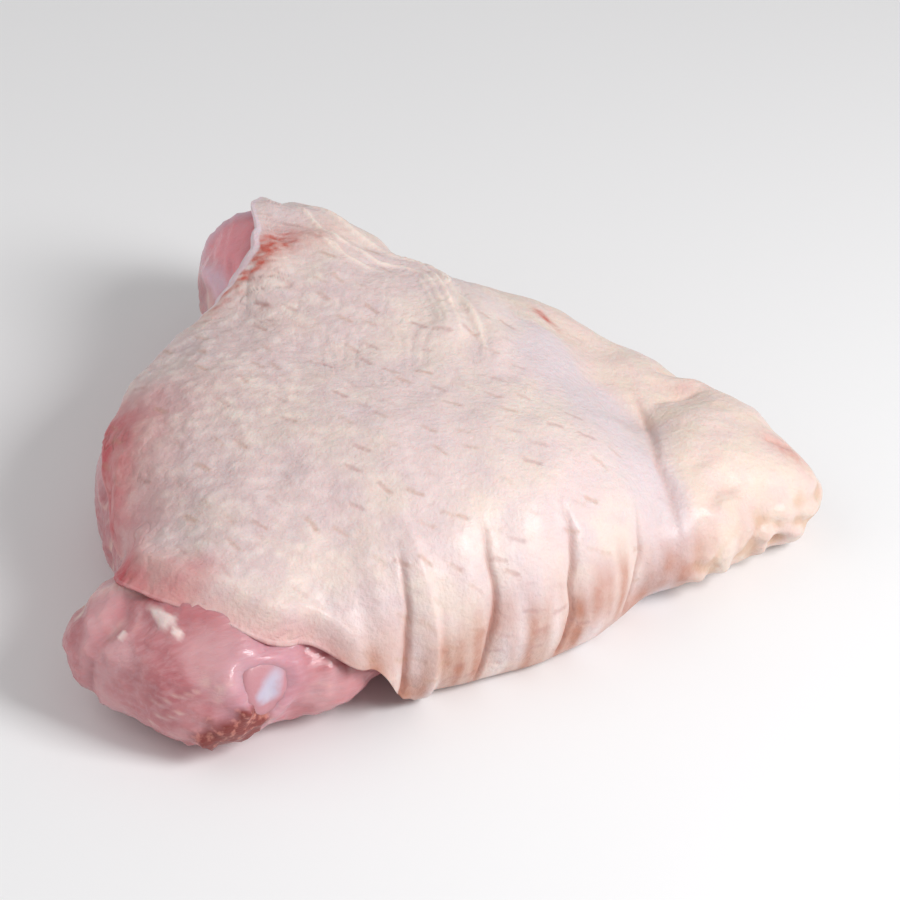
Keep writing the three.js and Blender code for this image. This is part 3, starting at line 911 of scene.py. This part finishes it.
inner_elevation, inner_length = even_elevations(meat_core, skin_inside, rim, edge, INNER_ROWS)
inner_side = side_points(meat_core, skin_inside, rim, inner_elevation)
inner_top = top_points(meat_core, skin_inside, share, bearing)
open_edge = smooth_step(*OPEN_EDGE, edge)
clings = between(np.degrees(rim), *KNEE_BEARINGS)
thinning = np.interp(np.degrees(rim), *EDGE_THINNING) * open_edge * (1 - clings) - KNEE_CLING * clings
inner_lift = lip_lift(rim, inner_elevation) + thinning * bump(inner_length[-1] - inner_length, 5)
inner_side = inner_side + normals_of(skin_shape, inner_side) * inner_lift[..., None]
top_lift = lip_lift(bearing, 90) * smooth_step(LIP["inner_share"], 1, share)
inner_top = inner_top + normals_of(skin_shape, inner_top) * top_lift[..., None]

outer_grid, outer_rings = unlisted(outer_raised, SKIN_GRID)
middle = (outer_rings[-1] + inner_side[-1]) / 2
half_hem = (outer_rings[-1] - inner_side[-1]) / 2
hem = 2 * np.linalg.norm(half_hem, axis=-1, keepdims=True)
bulge = np.minimum(0.45 * hem, 0.8) * open_edge[:, None] * unit(outer_rings[-1] - outer_rings[-4])
angles = np.linspace(0, np.pi, EDGE_ROWS + 2)[1:-1]
edge_rings = np.stack([middle + np.cos(a) * half_hem + np.sin(a) * bulge for a in angles])
rings = np.concatenate([outer_rings, edge_rings, inner_side[:0:-1]])
rings[..., 2] = np.maximum(rings[..., 2], 0)
skin = closed_mesh("skin_surface", outer_grid, rings, inner_top)

# %% The skin's masks, kept for its shader
RIM_WIDTH = ([60, 74, 86, 92, 98, 180], [0.6, 1.6, 1.5, 0.8, 0.4, 0.35])
RIM_STRENGTH = ([55, 66, 105, 135, 160], [0, 1, 1, 0.4, 0.12])
INSIDE = {"fat": 0.2, "thin": 0.6, "knee_pink": 0.35, "rim": 1.0}

is_rim = np.interp(degrees, *RIM_STRENGTH) * smooth_step(*OPEN_EDGE, edge_at(degrees))
skin_masks = {
    "fat": fat,
    "thin": thin,
    "blush": np.clip(blush, 0, 1),
    "sore": sore,
    "red_spot": np.clip(red_spot + flap_pink, 0, 1),
    "knee_pink": knee_pink,
    # The front wall's tan is partly its own colour and partly painted shade.
    "front_warm": front_warm,
    # Painted shade: each front crease is darkened to a reddish brown.
    "front_crease": np.clip(front_crease, 0, 1),
    "pit": np.stack([along, across, inside * pitted], -1),
    "pit_kind": kind,
    # The mounds' tint is painted light, and the valleys' tint is painted shade.
    "goose": goose * grainy,
    "valley": valley,
    # Painted shade: the valleys of the flap's pleats are tinted a darker tan.
    "pleat": np.clip(-flap_pleats, 0, 1),
    # Painted shade: the furrows of the wrinkles are darkened in colour.
    "furrow": np.clip(lip_wrinkle + 0.5 * dome_wrinkle + knee_wrinkle, 0, 1),
    "string": np.clip(strings / 0.4, 0, 1),
    # Painted shade: the flap's creases are tinted a darker rose.
    "flap_crease": np.clip(flap_crease / 1.2, 0, 1),
    "rim": is_rim * smooth_step(1.2, 0.7, from_edge / np.interp(degrees, *RIM_WIDTH)),
}
for name, values in skin_masks.items():
    round_edge = [values[-len(rim):]] * (EDGE_ROWS + 2)
    store(skin, name, np.concatenate([values, *round_edge]), INSIDE.get(name, 0.0))
print("masks of the skin:", len(skin_masks))

# %% [markdown]
# ## The bone
#
# Only the knuckle at the knee shows: two rounded ends under smooth cartilage with a shallow groove
# between them. The rest of the bone runs through the meat. Its shape is a bent rod blended with four
# balls, and rings of rays from the rod's axis find its surface.

# %% The bone's shape
BONE_FROM = on_plan(84, 29, 12.5)
BONE_TO = on_plan(139, 76, 13)
BONE_RADIUS = 4.1
BONE_BOW = 1.6
BONE_BLEND = 5.0
BONE_ENDS = [((80, 23, 12.5), 7.2), ((86, 28, 12.5), 6.4), ((143, 77, 13), 5.6), ((138, 81, 12), 5.0)]
BONE_SIDES = 72
BONE_RINGS = 110
END_RINGS = 22
GROOVE = {"at": on_plan(83.0, 15.6, 12.5), "width": 1.5, "depth": 0.5}
KNUCKLE_PROUD = 0.3


def bone_shape(p):
    along = BONE_TO - BONE_FROM
    share = np.clip((p - BONE_FROM) @ along / (along @ along), 0, 1)
    axis = BONE_FROM + share[..., None] * along
    axis[..., 2] += BONE_BOW * np.sin(np.pi * share)
    distance = np.linalg.norm(p - axis, axis=-1) - BONE_RADIUS
    for at, radius in BONE_ENDS:
        distance = blended(distance, np.linalg.norm(p - on_plan(*at), axis=-1) - radius, BONE_BLEND)
    return distance


def bone_surface():
    """Points where rays from the rod meet the bone, ring by ring, with a fan of rings at each end."""
    along = BONE_TO - BONE_FROM
    axis = unit(along)
    side = unit(np.cross(axis, UP))
    middle_rings = BONE_RINGS - 2 * END_RINGS
    share = np.clip((np.arange(BONE_RINGS) - END_RINGS) / (middle_rings - 1), 0, 1)[:, None, None]
    fan = TURN / 4 * ((np.arange(END_RINGS) + 0.5) / END_RINGS - 1)
    tilt = np.concatenate([fan, np.zeros(middle_rings), -fan[::-1]])[:, None, None]
    angle = np.arange(BONE_SIDES)[:, None] / BONE_SIDES * TURN
    spoke = np.cos(angle) * side + np.sin(angle) * np.cross(side, axis)
    way = np.sin(tilt) * axis + np.cos(tilt) * spoke
    return walk(bone_shape, BONE_FROM + share * along + 0 * way, way)


def make_bone():
    surface = bone_surface()
    proud = meat_shape(surface)
    height = 0.10 * waves(surface, 4, 61) + 0.04 * waves(surface, 1.6, 62)
    height -= 0.8 * np.maximum(proud - KNUCKLE_PROUD, 0)
    from_groove = np.linalg.norm(np.cross(surface - GROOVE["at"], UP), axis=-1)
    height -= GROOVE["depth"] * bump(from_groove, GROOVE["width"])
    points = (surface + normals_of(bone_shape, surface) * height[..., None]).reshape(-1, 3)
    ids = np.arange(len(points)).reshape(BONE_RINGS, BONE_SIDES)
    walls = np.stack([ids[:-1], ids[1:], np.roll(ids[1:], -1, 1), np.roll(ids[:-1], -1, 1)], -1)
    piece = new_piece("bone_shaft", points, walls.reshape(-1, 4), (ids[0], ids[-1][::-1]))
    store(piece, "sunk", smooth_step(1.9, 0.6, proud.ravel() + 0.4 * waves(points, 3, 63)))
    return piece


bone = make_bone()

# %% [markdown]
# ## The meat
#
# Under the skin lies a body of several muscles. Their surface is smooth and wet, with shallow seams
# where one muscle meets the next, a fine grain along the fibres, and thin white film and scraps of fat
# left by the knife. It is made with the same rays as the skin, on its own core.

# %% The meat's points
MEAT_GRID = 120
MEAT_ROWS = 84
FOOT_ROWS = 5
TUCK_MARGIN = 8
PAST_EDGE = 4
MEAT_LOWEST = -70
TUCKED = (-20, -50)


def lowest_edge(t):
    return np.min([edge_at(np.degrees(t) + turn) for turn in (-TUCK_MARGIN, 0, TUCK_MARGIN)], 0)


def meat_outside(p, elevation, t):
    floor = (SKIN_THICKNESS + SKIN_GAP) * smooth_step(20, -10, lowest_edge(t))
    return above(meat_shape(p), p, floor, MEAT_FOOT)


meat_share, meat_bearing = square_to_disc(MEAT_GRID)
meat_rim = border(meat_bearing)
beside = lowest_edge(meat_rim)
lowest = MEAT_LOWEST + (beside - PAST_EDGE - MEAT_LOWEST) * smooth_step(*TUCKED, beside)
meat_elevation, meat_length = even_elevations(meat_core, meat_outside, meat_rim, lowest, MEAT_ROWS)
meat_side = side_points(meat_core, meat_outside, meat_rim, meat_elevation)
meat_top = top_points(meat_core, meat_outside, meat_share, meat_bearing)
meat_upper = listed(meat_top, meat_side)
meat_degrees = np.degrees(listed(meat_bearing, np.broadcast_to(meat_rim, meat_elevation.shape)))
meat_rise = listed(np.full_like(meat_bearing, 90.0), meat_elevation)
meat_step = meat_length[-1].mean() / MEAT_ROWS
print("meat points:", len(meat_upper), "step down the side, mm:", meat_step.round(2))

# %% Muscle seams, grain and scraps
SEAMS = [
    [(75, 50), (86, 66), (97, 84), (108, 100), (118, 114)],
    [(58, 44), (66, 52), (76, 66), (88, 82), (100, 98)],
    [(97, 90), (104, 97), (112, 108), (119, 122)],
    [(57, 36), (66, 38), (76, 34)],
]
FIBRE_TURN = 50.0
SCRAPS = [((67.6, 32.2), (2.3, 0.9), -74), ((68.8, 28.2), (1.5, 0.7), -50), ((61.1, 34.9), (0.9, 0.7), 0)]
PALE_STRIP = [(62.5, 46.5), (66.2, 42.6), (68.2, 38.2)]
CLOT = ((75.2, 17.2, 8.4), (6.8, 6.2, 5.6))
VEIN = [(95.4, 24), (95.4, 19), (96.4, 16.5)]
KNEE_CENTRE = on_plan(74, 34, 12)
KNEE_REACH = 22
KNEE_FACETS = [((-0.30, -0.25, 0.92), 1.7), ((-0.85, -0.45, 0.20), 1.5), ((-0.40, -0.88, 0.20), 1.3)]
FACET_SOFTNESS = 0.4
# Where the meat shows in the almond-shaped gap beside the lip, and the paler rim of that gap.
ALMOND = [(126, 119.5), (124, 116), (121.6, 113.8), (119.4, 112.2), (117, 110.5)]
ALMOND_RIM = [(129, 125), (125.5, 124), (121.8, 121.5), (119.8, 117.5), (118, 115), (115.8, 112)]


def facets(p):
    """How deep the knee's round lump is planed off by its flatter muscle faces."""
    from_knee = p - KNEE_CENTRE
    near_knee = bump(np.linalg.norm(from_knee[:, :2], axis=-1), KNEE_REACH)
    depth = np.zeros(len(p))
    for way, most in KNEE_FACETS:
        rise = from_knee @ unit(np.array(way))
        past = rise - rise[near_knee > 0.3].max() + most
        depth += np.logaddexp(0, past / FACET_SOFTNESS) * FACET_SOFTNESS
    return depth * near_knee


def fat_and_vein(p, flat, seam_distance):
    """Marbling, the line of fat in the seams and the vein, all below the meat's upper part."""
    low = smooth_step(26, 20, p[:, 2])
    marbling = np.clip(1 - 4 * np.abs(waves(stretched(p, FIBRE_TURN, 9.0, 3.0), 1.0, 66)), 0, 1)
    lace = smooth_step(-0.5, 0.5, waves(p, 6, 64)) * smooth_step(2, 8, p[:, 2])
    return {
        "marbling": marbling * smooth_step(0.2, 1.0, waves(p, 9, 67)) * low,
        "fat_line": bump(seam_distance + 0.35 * waves(p, 2.2, 65), 0.7) * lace * low,
        "vein": bump(near_line(flat, VEIN) + 0.3 * waves(p, 2, 68), 0.9) * smooth_step(18, 12, p[:, 2]),
    }


def left_by_knife(p, moved, flat):
    """The scraps of fat, the pale strip and the clot at the knee."""
    on_top = smooth_step(15, 20, p[:, 2])
    ragged = waves(p, 1.6, 56)
    scraps = [smooth_step(0.25, 0.7, spot(moved, *scrap) + 0.105 * ragged) for scrap in SCRAPS]
    from_clot = np.linalg.norm((moved - CLOT[0]) / CLOT[1], axis=-1)
    return {
        "scrap": np.max(scraps, 0) * on_top,
        "strip": bump(near_line(flat, PALE_STRIP), 1.5) * on_top,
        "clot": smooth_step(0.25, 0.5, bump(from_clot, 1) + 0.07 * ragged),
    }


def meat_forms(p, under_edge_shade):
    """The masks of the meat's fine forms, which shape its relief and its colours."""
    moved = p + PLAN_CENTRE + 1.2 * np.stack([waves(p, 8, seed) for seed in (51, 52, 53)], -1)
    flat = moved - PLAN_CENTRE
    upper = smooth_step(20, 26, p[:, 2])
    seam_distance = np.min([near_line(flat, line) for line in SEAMS], 0)
    seam = bump(seam_distance, 1.3) * smooth_step(2, 8, p[:, 2])
    masks = {
        # The seam mask also carries painted shade along under the skin's edge.
        "seam": np.maximum(seam, 0.8 * under_edge_shade),
        "almond": bump(near_line(flat, ALMOND), 4.5) * upper,
        "almond_rim": bump(near_line(flat, ALMOND_RIM), 1.6) * upper,
        "film": smooth_step(0.1, 1.2, waves(stretched(p, FIBRE_TURN, 3.0, 1.0), 7.0, 57)),
        "by_bone": bump(np.maximum(bone_shape(p), 0), 2.2),
    }
    return seam, {**masks, **fat_and_vein(p, flat, seam_distance), **left_by_knife(p, moved, flat)}


def meat_relief(p, below_edge, seam, masks):
    """Height of the meat's fine forms in mm, with the cuff of meat that is drawn round the knuckle."""
    to_bone = bone_shape(p)
    cuff = (0.65 + 0.35 * waves(p, 3, 60)) * bump(to_bone - 0.9, 1.6) - 1.4 * smooth_step(-0.2, -1.4, to_bone)
    fibres = stretched(p, FIBRE_TURN, 12.0, 1.0)
    height = cuff - 0.9 * seam + 0.10 * (waves(fibres, 1.0, 54) + 0.6 * waves(fibres, 2.2, 55))
    height += 0.35 * masks["scrap"] + 0.25 * masks["strip"] + 0.25 * masks["fat_line"]
    height += 0.10 * masks["marbling"] + 0.9 * masks["almond_rim"] - 0.5 * masks["almond"]
    height += masks["clot"] * (0.7 + 0.25 * waves(p, 1.8, 69))
    height += 0.35 * waves(p, 10, 58) + 0.12 * waves(p, 3.5, 59)
    height -= facets(p) * smooth_step(0, 18, below_edge)
    return height * smooth_step(0, 3, p[:, 2])


below_edge = edge_at(meat_degrees) - meat_rise
# Painted shade: darker meat along under the skin's free edge at the knee.
under_edge_shade = bump(below_edge - 3, 6) * between(meat_degrees, 182, 236, 5)
seam, meat_masks = meat_forms(meat_upper, under_edge_shade)
meat_height = meat_relief(meat_upper, below_edge, seam, meat_masks)
meat_raised = meat_upper + normals_of(meat_shape, meat_upper) * meat_height[:, None]
meat_raised[:, 2] = np.maximum(meat_raised[:, 2], 0)
tell("meat relief, mm:", meat_height)

# %% The meat's mesh
meat_grid, meat_rings = unlisted(meat_raised, MEAT_GRID)
meat_foot = meat_core.point(meat_share[..., None], meat_bearing) * (1 - UP)
steps = np.linspace(0, 1, FOOT_ROWS + 2)[1:-1]
foot_rings = np.stack([meat_rings[-1] + (border(meat_foot) - meat_rings[-1]) * s for s in steps])
meat = closed_mesh("meat_body", meat_grid, np.concatenate([meat_rings, foot_rings]), meat_foot)
for name, values in meat_masks.items():
    store(meat, name, values)

# %% [markdown]
# ## Shader maths as expressions
#
# A material is a graph of nodes, and drawing one in code soon hides what it says. This small class
# wraps a node's output, so that shader maths reads as a sum: `1 - mask * 0.5` adds two Math nodes.

# %% A socket that does maths
class Value:
    """A number that varies over the surface."""

    def __init__(self, tree, socket):
        self.tree = tree
        self.socket = socket

    def math(self, operation, *others):
        return self.tree.node("ShaderNodeMath", {"operation": operation}, [self, *others])

    def __add__(self, other):
        return self.math("ADD", other)

    def __sub__(self, other):
        return self.math("SUBTRACT", other)

    def __rsub__(self, other):
        return self.tree.node("ShaderNodeMath", {"operation": "SUBTRACT"}, [other, self])

    def __mul__(self, other):
        return self.math("MULTIPLY", other)

    __radd__ = __add__
    __rmul__ = __mul__

    def size(self):
        return self.math("ABSOLUTE")

    def most(self, other):
        return self.math("MAXIMUM", other)

    def least(self, other):
        return self.math("MINIMUM", other)

    def step(self, low, high):
        """Runs smoothly from 0 to 1 as the value goes from low to high, or from 1 to 0 if low > high."""
        if low > high:
            return 1 - self.step(high, low)
        settings = {"interpolation_type": "SMOOTHSTEP"}
        values = {"Value": self, "From Min": low, "From Max": high}
        return self.tree.node("ShaderNodeMapRange", settings, values)


# %% The nodes of a material
class Tree:
    """The nodes of one material."""

    def __init__(self, name):
        self.material = bpy.data.materials.new(name)
        self.material.use_nodes = True
        self.nodes = self.material.node_tree.nodes
        self.links = self.material.node_tree.links
        self.shader = self.nodes["Principled BSDF"]

    def node(self, kind, settings=None, inputs=None, output=0):
        """Adds a node, sets it, fills its sockets with values or links, and returns one output."""
        node = self.nodes.new(kind)
        for key, value in (settings or {}).items():
            setattr(node, key, value)
        pairs = inputs.items() if isinstance(inputs, dict) else enumerate(inputs or [])
        for key, value in pairs:
            self.fill(node.inputs[key], value)
        return Value(self, node.outputs[output])

    def fill(self, socket, value):
        if isinstance(value, Value):
            self.links.new(value.socket, socket)
        else:
            socket.default_value = value

    def mask(self, name, output="Fac"):
        return self.node("ShaderNodeAttribute", {"attribute_name": name}, output=output)

    def parts(self, vector):
        first = self.node("ShaderNodeSeparateXYZ", None, [vector])
        return [Value(self, socket) for socket in first.socket.node.outputs]

    def noise(self, size, detail, scale=(1, 1, 1), turn=0.0):
        """Noise from 0 to 1 whose lumps are about size mm across, turned about the vertical and scaled."""
        point = self.node("ShaderNodeTexCoord", output="Object")
        in_mm = tuple(1000 * s for s in scale)
        placing = {"Vector": point, "Rotation": (0, 0, np.radians(turn)), "Scale": in_mm}
        place = self.node("ShaderNodeMapping", {"vector_type": "POINT"}, placing)
        values = {"Vector": place, "Scale": 1 / size, "Detail": detail, "Roughness": 0.5}
        return self.node("ShaderNodeTexNoise", {"noise_dimensions": "3D"}, values)

    def mix(self, amount, first, second):
        """Colour first where amount is 0 and second where it is 1."""
        return self.node("ShaderNodeMix", {"data_type": "RGBA"}, {0: amount, 6: first, 7: second}, 2)

    def layered(self, colour, layers):
        """A colour with others laid over it in turn, each where its mask is and by its amount."""
        for name, amount, tint in layers:
            colour = self.mix(self.mask(name) * amount, colour, tint)
        return colour

    def relief(self, height, depth):
        values = {"Height": height, "Distance": depth / 1000, "Strength": 1.0}
        return self.node("ShaderNodeBump", None, values)

    def finish(self, piece, varying, constant):
        """Links what varies to the shader, sets what doesn't, and gives the material to a piece."""
        for name, value in {**varying, **constant}.items():
            self.fill(self.shader.inputs[name], value)
        piece.data.materials.append(self.material)
        print(self.material.name, "nodes:", len(self.nodes))


def srgb(red, green, blue):
    """A colour read off a screen, from 0 to 255, as the linear colour that a shader needs."""
    c = np.array([red, green, blue]) / 255
    linear = np.where(c <= 0.04045, c / 12.92, ((c + 0.055) / 1.055) ** 2.4)
    return (*[float(v) for v in linear], 1.0)


# %% [markdown]
# ## Skin finish
#
# Raw skin is never one colour. Light goes a few millimetres into it, so the pink of the meat and the
# cream of the fat show through in soft patches, and only the slits are sharp. Subsurface scattering
# gives that softness, broad noise gives the patches, and a thin coat gives the wet shine.

# %% Skin colours
DOME_PINK = srgb(226, 206, 204)
DOME_CREAM = srgb(231, 214, 205)
DOME_LILAC = srgb(215, 196, 199)
# Painted shade for the valleys between the mounds, and painted light for the mounds' tops.
DOME_VALLEY_SHADE = srgb(200, 172, 172)
MOUND_PAINTED_LIGHT = srgb(238, 222, 216)
THIN_GREY = srgb(218, 203, 207)
FAT_YELLOW = srgb(229, 211, 197)
FAT_PINK = srgb(228, 205, 198)
BLUSH_RED = srgb(196, 94, 80)
# The knee's pink, darkened as painted shade.
KNEE_PINK_AND_SHADE = srgb(198, 84, 92)
# Tan of the low front wall, darkened as painted shade.
FRONT_TAN_AND_SHADE = srgb(186, 128, 106)
# Painted shade in the front creases, reddish brown.
CREASE_SHADE_RED = srgb(172, 104, 86)
PIT_TAN = srgb(190, 148, 122)
PIT_MAUVE = srgb(178, 132, 128)
PIT_RED = srgb(160, 98, 90)
# Painted shade for the valleys of the flap's pleats.
PLEAT_SHADE_TAN = srgb(212, 178, 150)
# Painted shade in the wrinkles' furrows.
FURROW_SHADE = srgb(204, 172, 168)
STRING_PALE = srgb(240, 224, 214)
# Painted shade in the flap's creases.
CREASE_ROSE_SHADE = srgb(206, 160, 148)
RIM_LILAC = srgb(232, 212, 220)


def skin_colour(tree):
    """The skin's colour without its pits, and how red it is."""
    broad = tree.noise(14, 3.0).step(0.35, 0.65)
    patch = tree.noise(5, 4.0)
    patchy = patch.step(0.35, 0.65)
    speck = tree.noise(1.6, 3.0).step(0.35, 0.65)
    colour = tree.mix(patch.step(0.42, 0.72) * 0.5, tree.mix(broad, DOME_PINK, DOME_CREAM), DOME_LILAC)
    colour = tree.layered(colour, [
        # Painted light on the mounds and painted shade in the valleys between them.
        ("goose", 0.16, MOUND_PAINTED_LIGHT),
        ("valley", 0.5, DOME_VALLEY_SHADE),
        ("thin", 0.85, THIN_GREY),
        ("fat", 0.9, tree.mix(patch.step(0.3, 0.7), FAT_YELLOW, FAT_PINK)),
        # Painted shade in the pleats' valleys.
        ("pleat", 0.7, PLEAT_SHADE_TAN),
        # The skin's own tan, with painted shade, low on the front wall.
        ("front_warm", 0.7 + 0.3 * patchy, FRONT_TAN_AND_SHADE),
        # Painted shade in the front creases.
        ("front_crease", 0.6, CREASE_SHADE_RED),
        # The knee's own pink, with painted shade.
        ("knee_pink", 0.72 + 0.28 * patchy, KNEE_PINK_AND_SHADE),
    ])
    blush = (tree.mask("blush") + tree.mask("red_spot")).least(1.0)
    colour = tree.mix(blush * (0.6 + 0.4 * speck), colour, BLUSH_RED)
    redness = (blush + tree.mask("sore")).least(1.0)
    inflamed = redness.most(tree.mask("knee_pink") * 0.8)
    colour = tree.layered(colour, [
        # Painted shade in the furrows, turning red where the skin is red.
        ("furrow", 0.3 + 0.25 * inflamed, tree.mix(inflamed, FURROW_SHADE, PIT_RED)),
        ("string", 0.7, STRING_PALE),
        # Painted shade in the flap's creases.
        ("flap_crease", 0.55, CREASE_ROSE_SHADE),
        ("rim", 0.85, RIM_LILAC),
    ])
    return colour, redness


# %% Slits and pores
PORE_AT = 0.95
SLIT_TINT = 0.42
PORE_TINT = 0.06


def pit_masks(tree):
    """The soft slit of each feather pit and the darker pore at its end, from the offset to it."""
    along, across, inside = tree.parts(tree.mask("pit", "Vector"))
    kind = tree.mask("pit_kind")
    strength = inside * kind.step(-1.0, 1.1) * (0.45 + tree.noise(0.9, 2.0))
    wobble = (tree.noise(1.3, 2.0) - 0.5) * 0.9
    line = (across + wobble).size().step(0.8, 0.05)
    length = (along + kind * 0.4).step(-2.3, -1.0) * along.step(2.2, 1.0)
    past_pore = along - PORE_AT
    pore = (past_pore * past_pore + across * across).step(0.30, 0.02)
    return line * length * strength, pore * strength


skin_tree = Tree("raw_skin")
skin_base, redness = skin_colour(skin_tree)
slits, pores = pit_masks(skin_tree)
pit_tint = skin_tree.mix(skin_tree.noise(16, 1.0).step(0.42, 0.58), PIT_TAN, PIT_MAUVE)
pit_tint = skin_tree.mix(redness.step(0.15, 0.6), pit_tint, PIT_RED)
skin_base = skin_tree.mix((slits * SLIT_TINT + pores * PORE_TINT).least(1.0), skin_base, pit_tint)

# %% Skin shine and fine relief
GRAIN_HEIGHT = 0.35
SLIT_DEPTH = 0.08
PORE_DEPTH = 0.06

grain = skin_tree.noise(0.55, 3.0)
creping = skin_tree.noise(1.3, 4.0)
wet = skin_tree.noise(6, 2.0).step(0.35, 0.7)
fine_height = grain * GRAIN_HEIGHT + creping - slits * SLIT_DEPTH - pores * PORE_DEPTH
varying = {
    "Base Color": skin_base,
    "Roughness": 0.44 + 0.16 * creping,
    "Coat Weight": 0.06 + 0.26 * wet,
    "Normal": skin_tree.relief(fine_height, 0.30),
}
constant = {
    "Subsurface Weight": 0.4,
    "Subsurface Radius": (1.0, 0.45, 0.35),
    "Subsurface Scale": 0.0009,
    "Coat Roughness": 0.18,
    "IOR": 1.42,
}
skin_tree.finish(skin, varying, constant)

# %% [markdown]
# ## Meat finish
#
# The meat is a rosy red that pales where white film lies over it, darker in the seams, and glossier
# than the skin because it is wet. Along under the skin's edge at the knee, the seam colour is laid on as
# painted shade. Fat scraps are nearly white, and the clot beside the knuckle is a dark brownish red.

# %% Meat colours and shine
MEAT_ROSE = srgb(202, 138, 142)
MEAT_DEEP = srgb(188, 114, 120)
MEAT_FILM = srgb(216, 172, 176)
# Dark red of the muscle seams, also laid along under the skin's edge as painted shade.
MEAT_SEAM_AND_SHADE = srgb(184, 108, 114)
SCRAP_WHITE = srgb(236, 214, 210)
STRIP_PALE = srgb(234, 200, 196)
CLOT_RED = srgb(132, 52, 46)
CLOT_LIGHT = srgb(190, 118, 104)
VEIN_RED = srgb(150, 62, 72)
FAT_WHITE = srgb(236, 212, 200)
# Pink meat in the gap beside the lip, lightened as painted light where the lip shades it.
ALMOND_PINK_AND_LIGHT = srgb(252, 168, 178)
ALMOND_LILAC = srgb(230, 198, 212)
BY_BONE = srgb(206, 158, 172)

meat_tree = Tree("raw_meat")
meat_patch = meat_tree.noise(9, 3.0)
meat_streak = meat_tree.noise(1.0, 3.0, scale=(0.08, 1.0, 1.0), turn=-FIBRE_TURN)
meat_fine = meat_tree.noise(0.7, 3.0, scale=(0.12, 1.0, 1.0), turn=-FIBRE_TURN)
clot_colour = meat_tree.mix(meat_tree.noise(1.2, 3.0).step(0.5, 0.7), CLOT_RED, CLOT_LIGHT)
meat_base = meat_tree.mix(meat_patch.step(0.35, 0.65), MEAT_ROSE, MEAT_DEEP)
meat_base = meat_tree.mix(meat_streak.step(0.35, 0.75) * 0.35, meat_base, MEAT_FILM)
meat_base = meat_tree.layered(meat_base, [
    ("film", 0.55, MEAT_FILM),
    # Muscle seams, and painted shade under the skin's edge.
    ("seam", 0.6, MEAT_SEAM_AND_SHADE),
    # The almond's own pink, with painted light.
    ("almond", 0.8, ALMOND_PINK_AND_LIGHT),
    ("almond_rim", 0.9, ALMOND_LILAC),
    ("strip", 0.7, STRIP_PALE),
    ("by_bone", 0.6, BY_BONE),
    ("marbling", 0.45, FAT_WHITE),
    ("fat_line", 0.75, FAT_WHITE),
    ("vein", 0.7, VEIN_RED),
    ("clot", 1.0, clot_colour),
    ("scrap", 1.0, SCRAP_WHITE),
])
varying = {
    "Base Color": meat_base,
    "Roughness": 0.30 + 0.15 * meat_fine,
    "Coat Weight": 0.15 + 0.4 * meat_patch,
    "Normal": meat_tree.relief(meat_fine, 0.2),
}
constant = {
    "Subsurface Weight": 0.5,
    "Subsurface Radius": (1.0, 0.30, 0.22),
    "Subsurface Scale": 0.0020,
    "Coat Roughness": 0.10,
    "IOR": 1.42,
}
meat_tree.finish(meat, varying, constant)

# %% [markdown]
# ## Bone finish
#
# Fresh cartilage is bluish white, smooth and a little see-through, with pink where tissue still
# clings to it.

# %% Bone colours and shine
CARTILAGE = srgb(198, 190, 208)
CARTILAGE_PINK = srgb(196, 138, 146)

bone_tree = Tree("knuckle_cartilage")
bone_patch = bone_tree.noise(4, 3.0).step(0.45, 0.7)
bone_fine = bone_tree.noise(0.9, 3.0)
pinkness = (bone_patch * 0.5 + bone_tree.mask("sunk")).least(1.0)
varying = {
    "Base Color": bone_tree.mix(pinkness, CARTILAGE, CARTILAGE_PINK),
    "Roughness": 0.42 + 0.14 * bone_fine,
    "Normal": bone_tree.relief(bone_fine, 0.08),
}
constant = {
    "Subsurface Weight": 0.5,
    "Subsurface Radius": (0.8, 0.7, 1.0),
    "Subsurface Scale": 0.0020,
    "Coat Weight": 0.15,
    "Coat Roughness": 0.14,
}
bone_tree.finish(bone, varying, constant)

# %% [markdown]
# ## The pieces on the part
#
# Each piece stands for its solid in the imported part, which is hidden, and rides with the one body.

# %% Pieces on the part
for piece, node in ((skin, "skin"), (meat, "meat"), (bone, "bone")):
    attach(piece, "root")
    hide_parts(node)
    points = np.array([v.co[:] for v in piece.data.vertices])
    apart = np.abs(np.array(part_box(node)) - [points.min(0), points.max(0)]).max(0)
    print(piece.name, "box differs from the part's by up to, mm:", (1000 * apart).round(2))

bpy.context.view_layer.update()
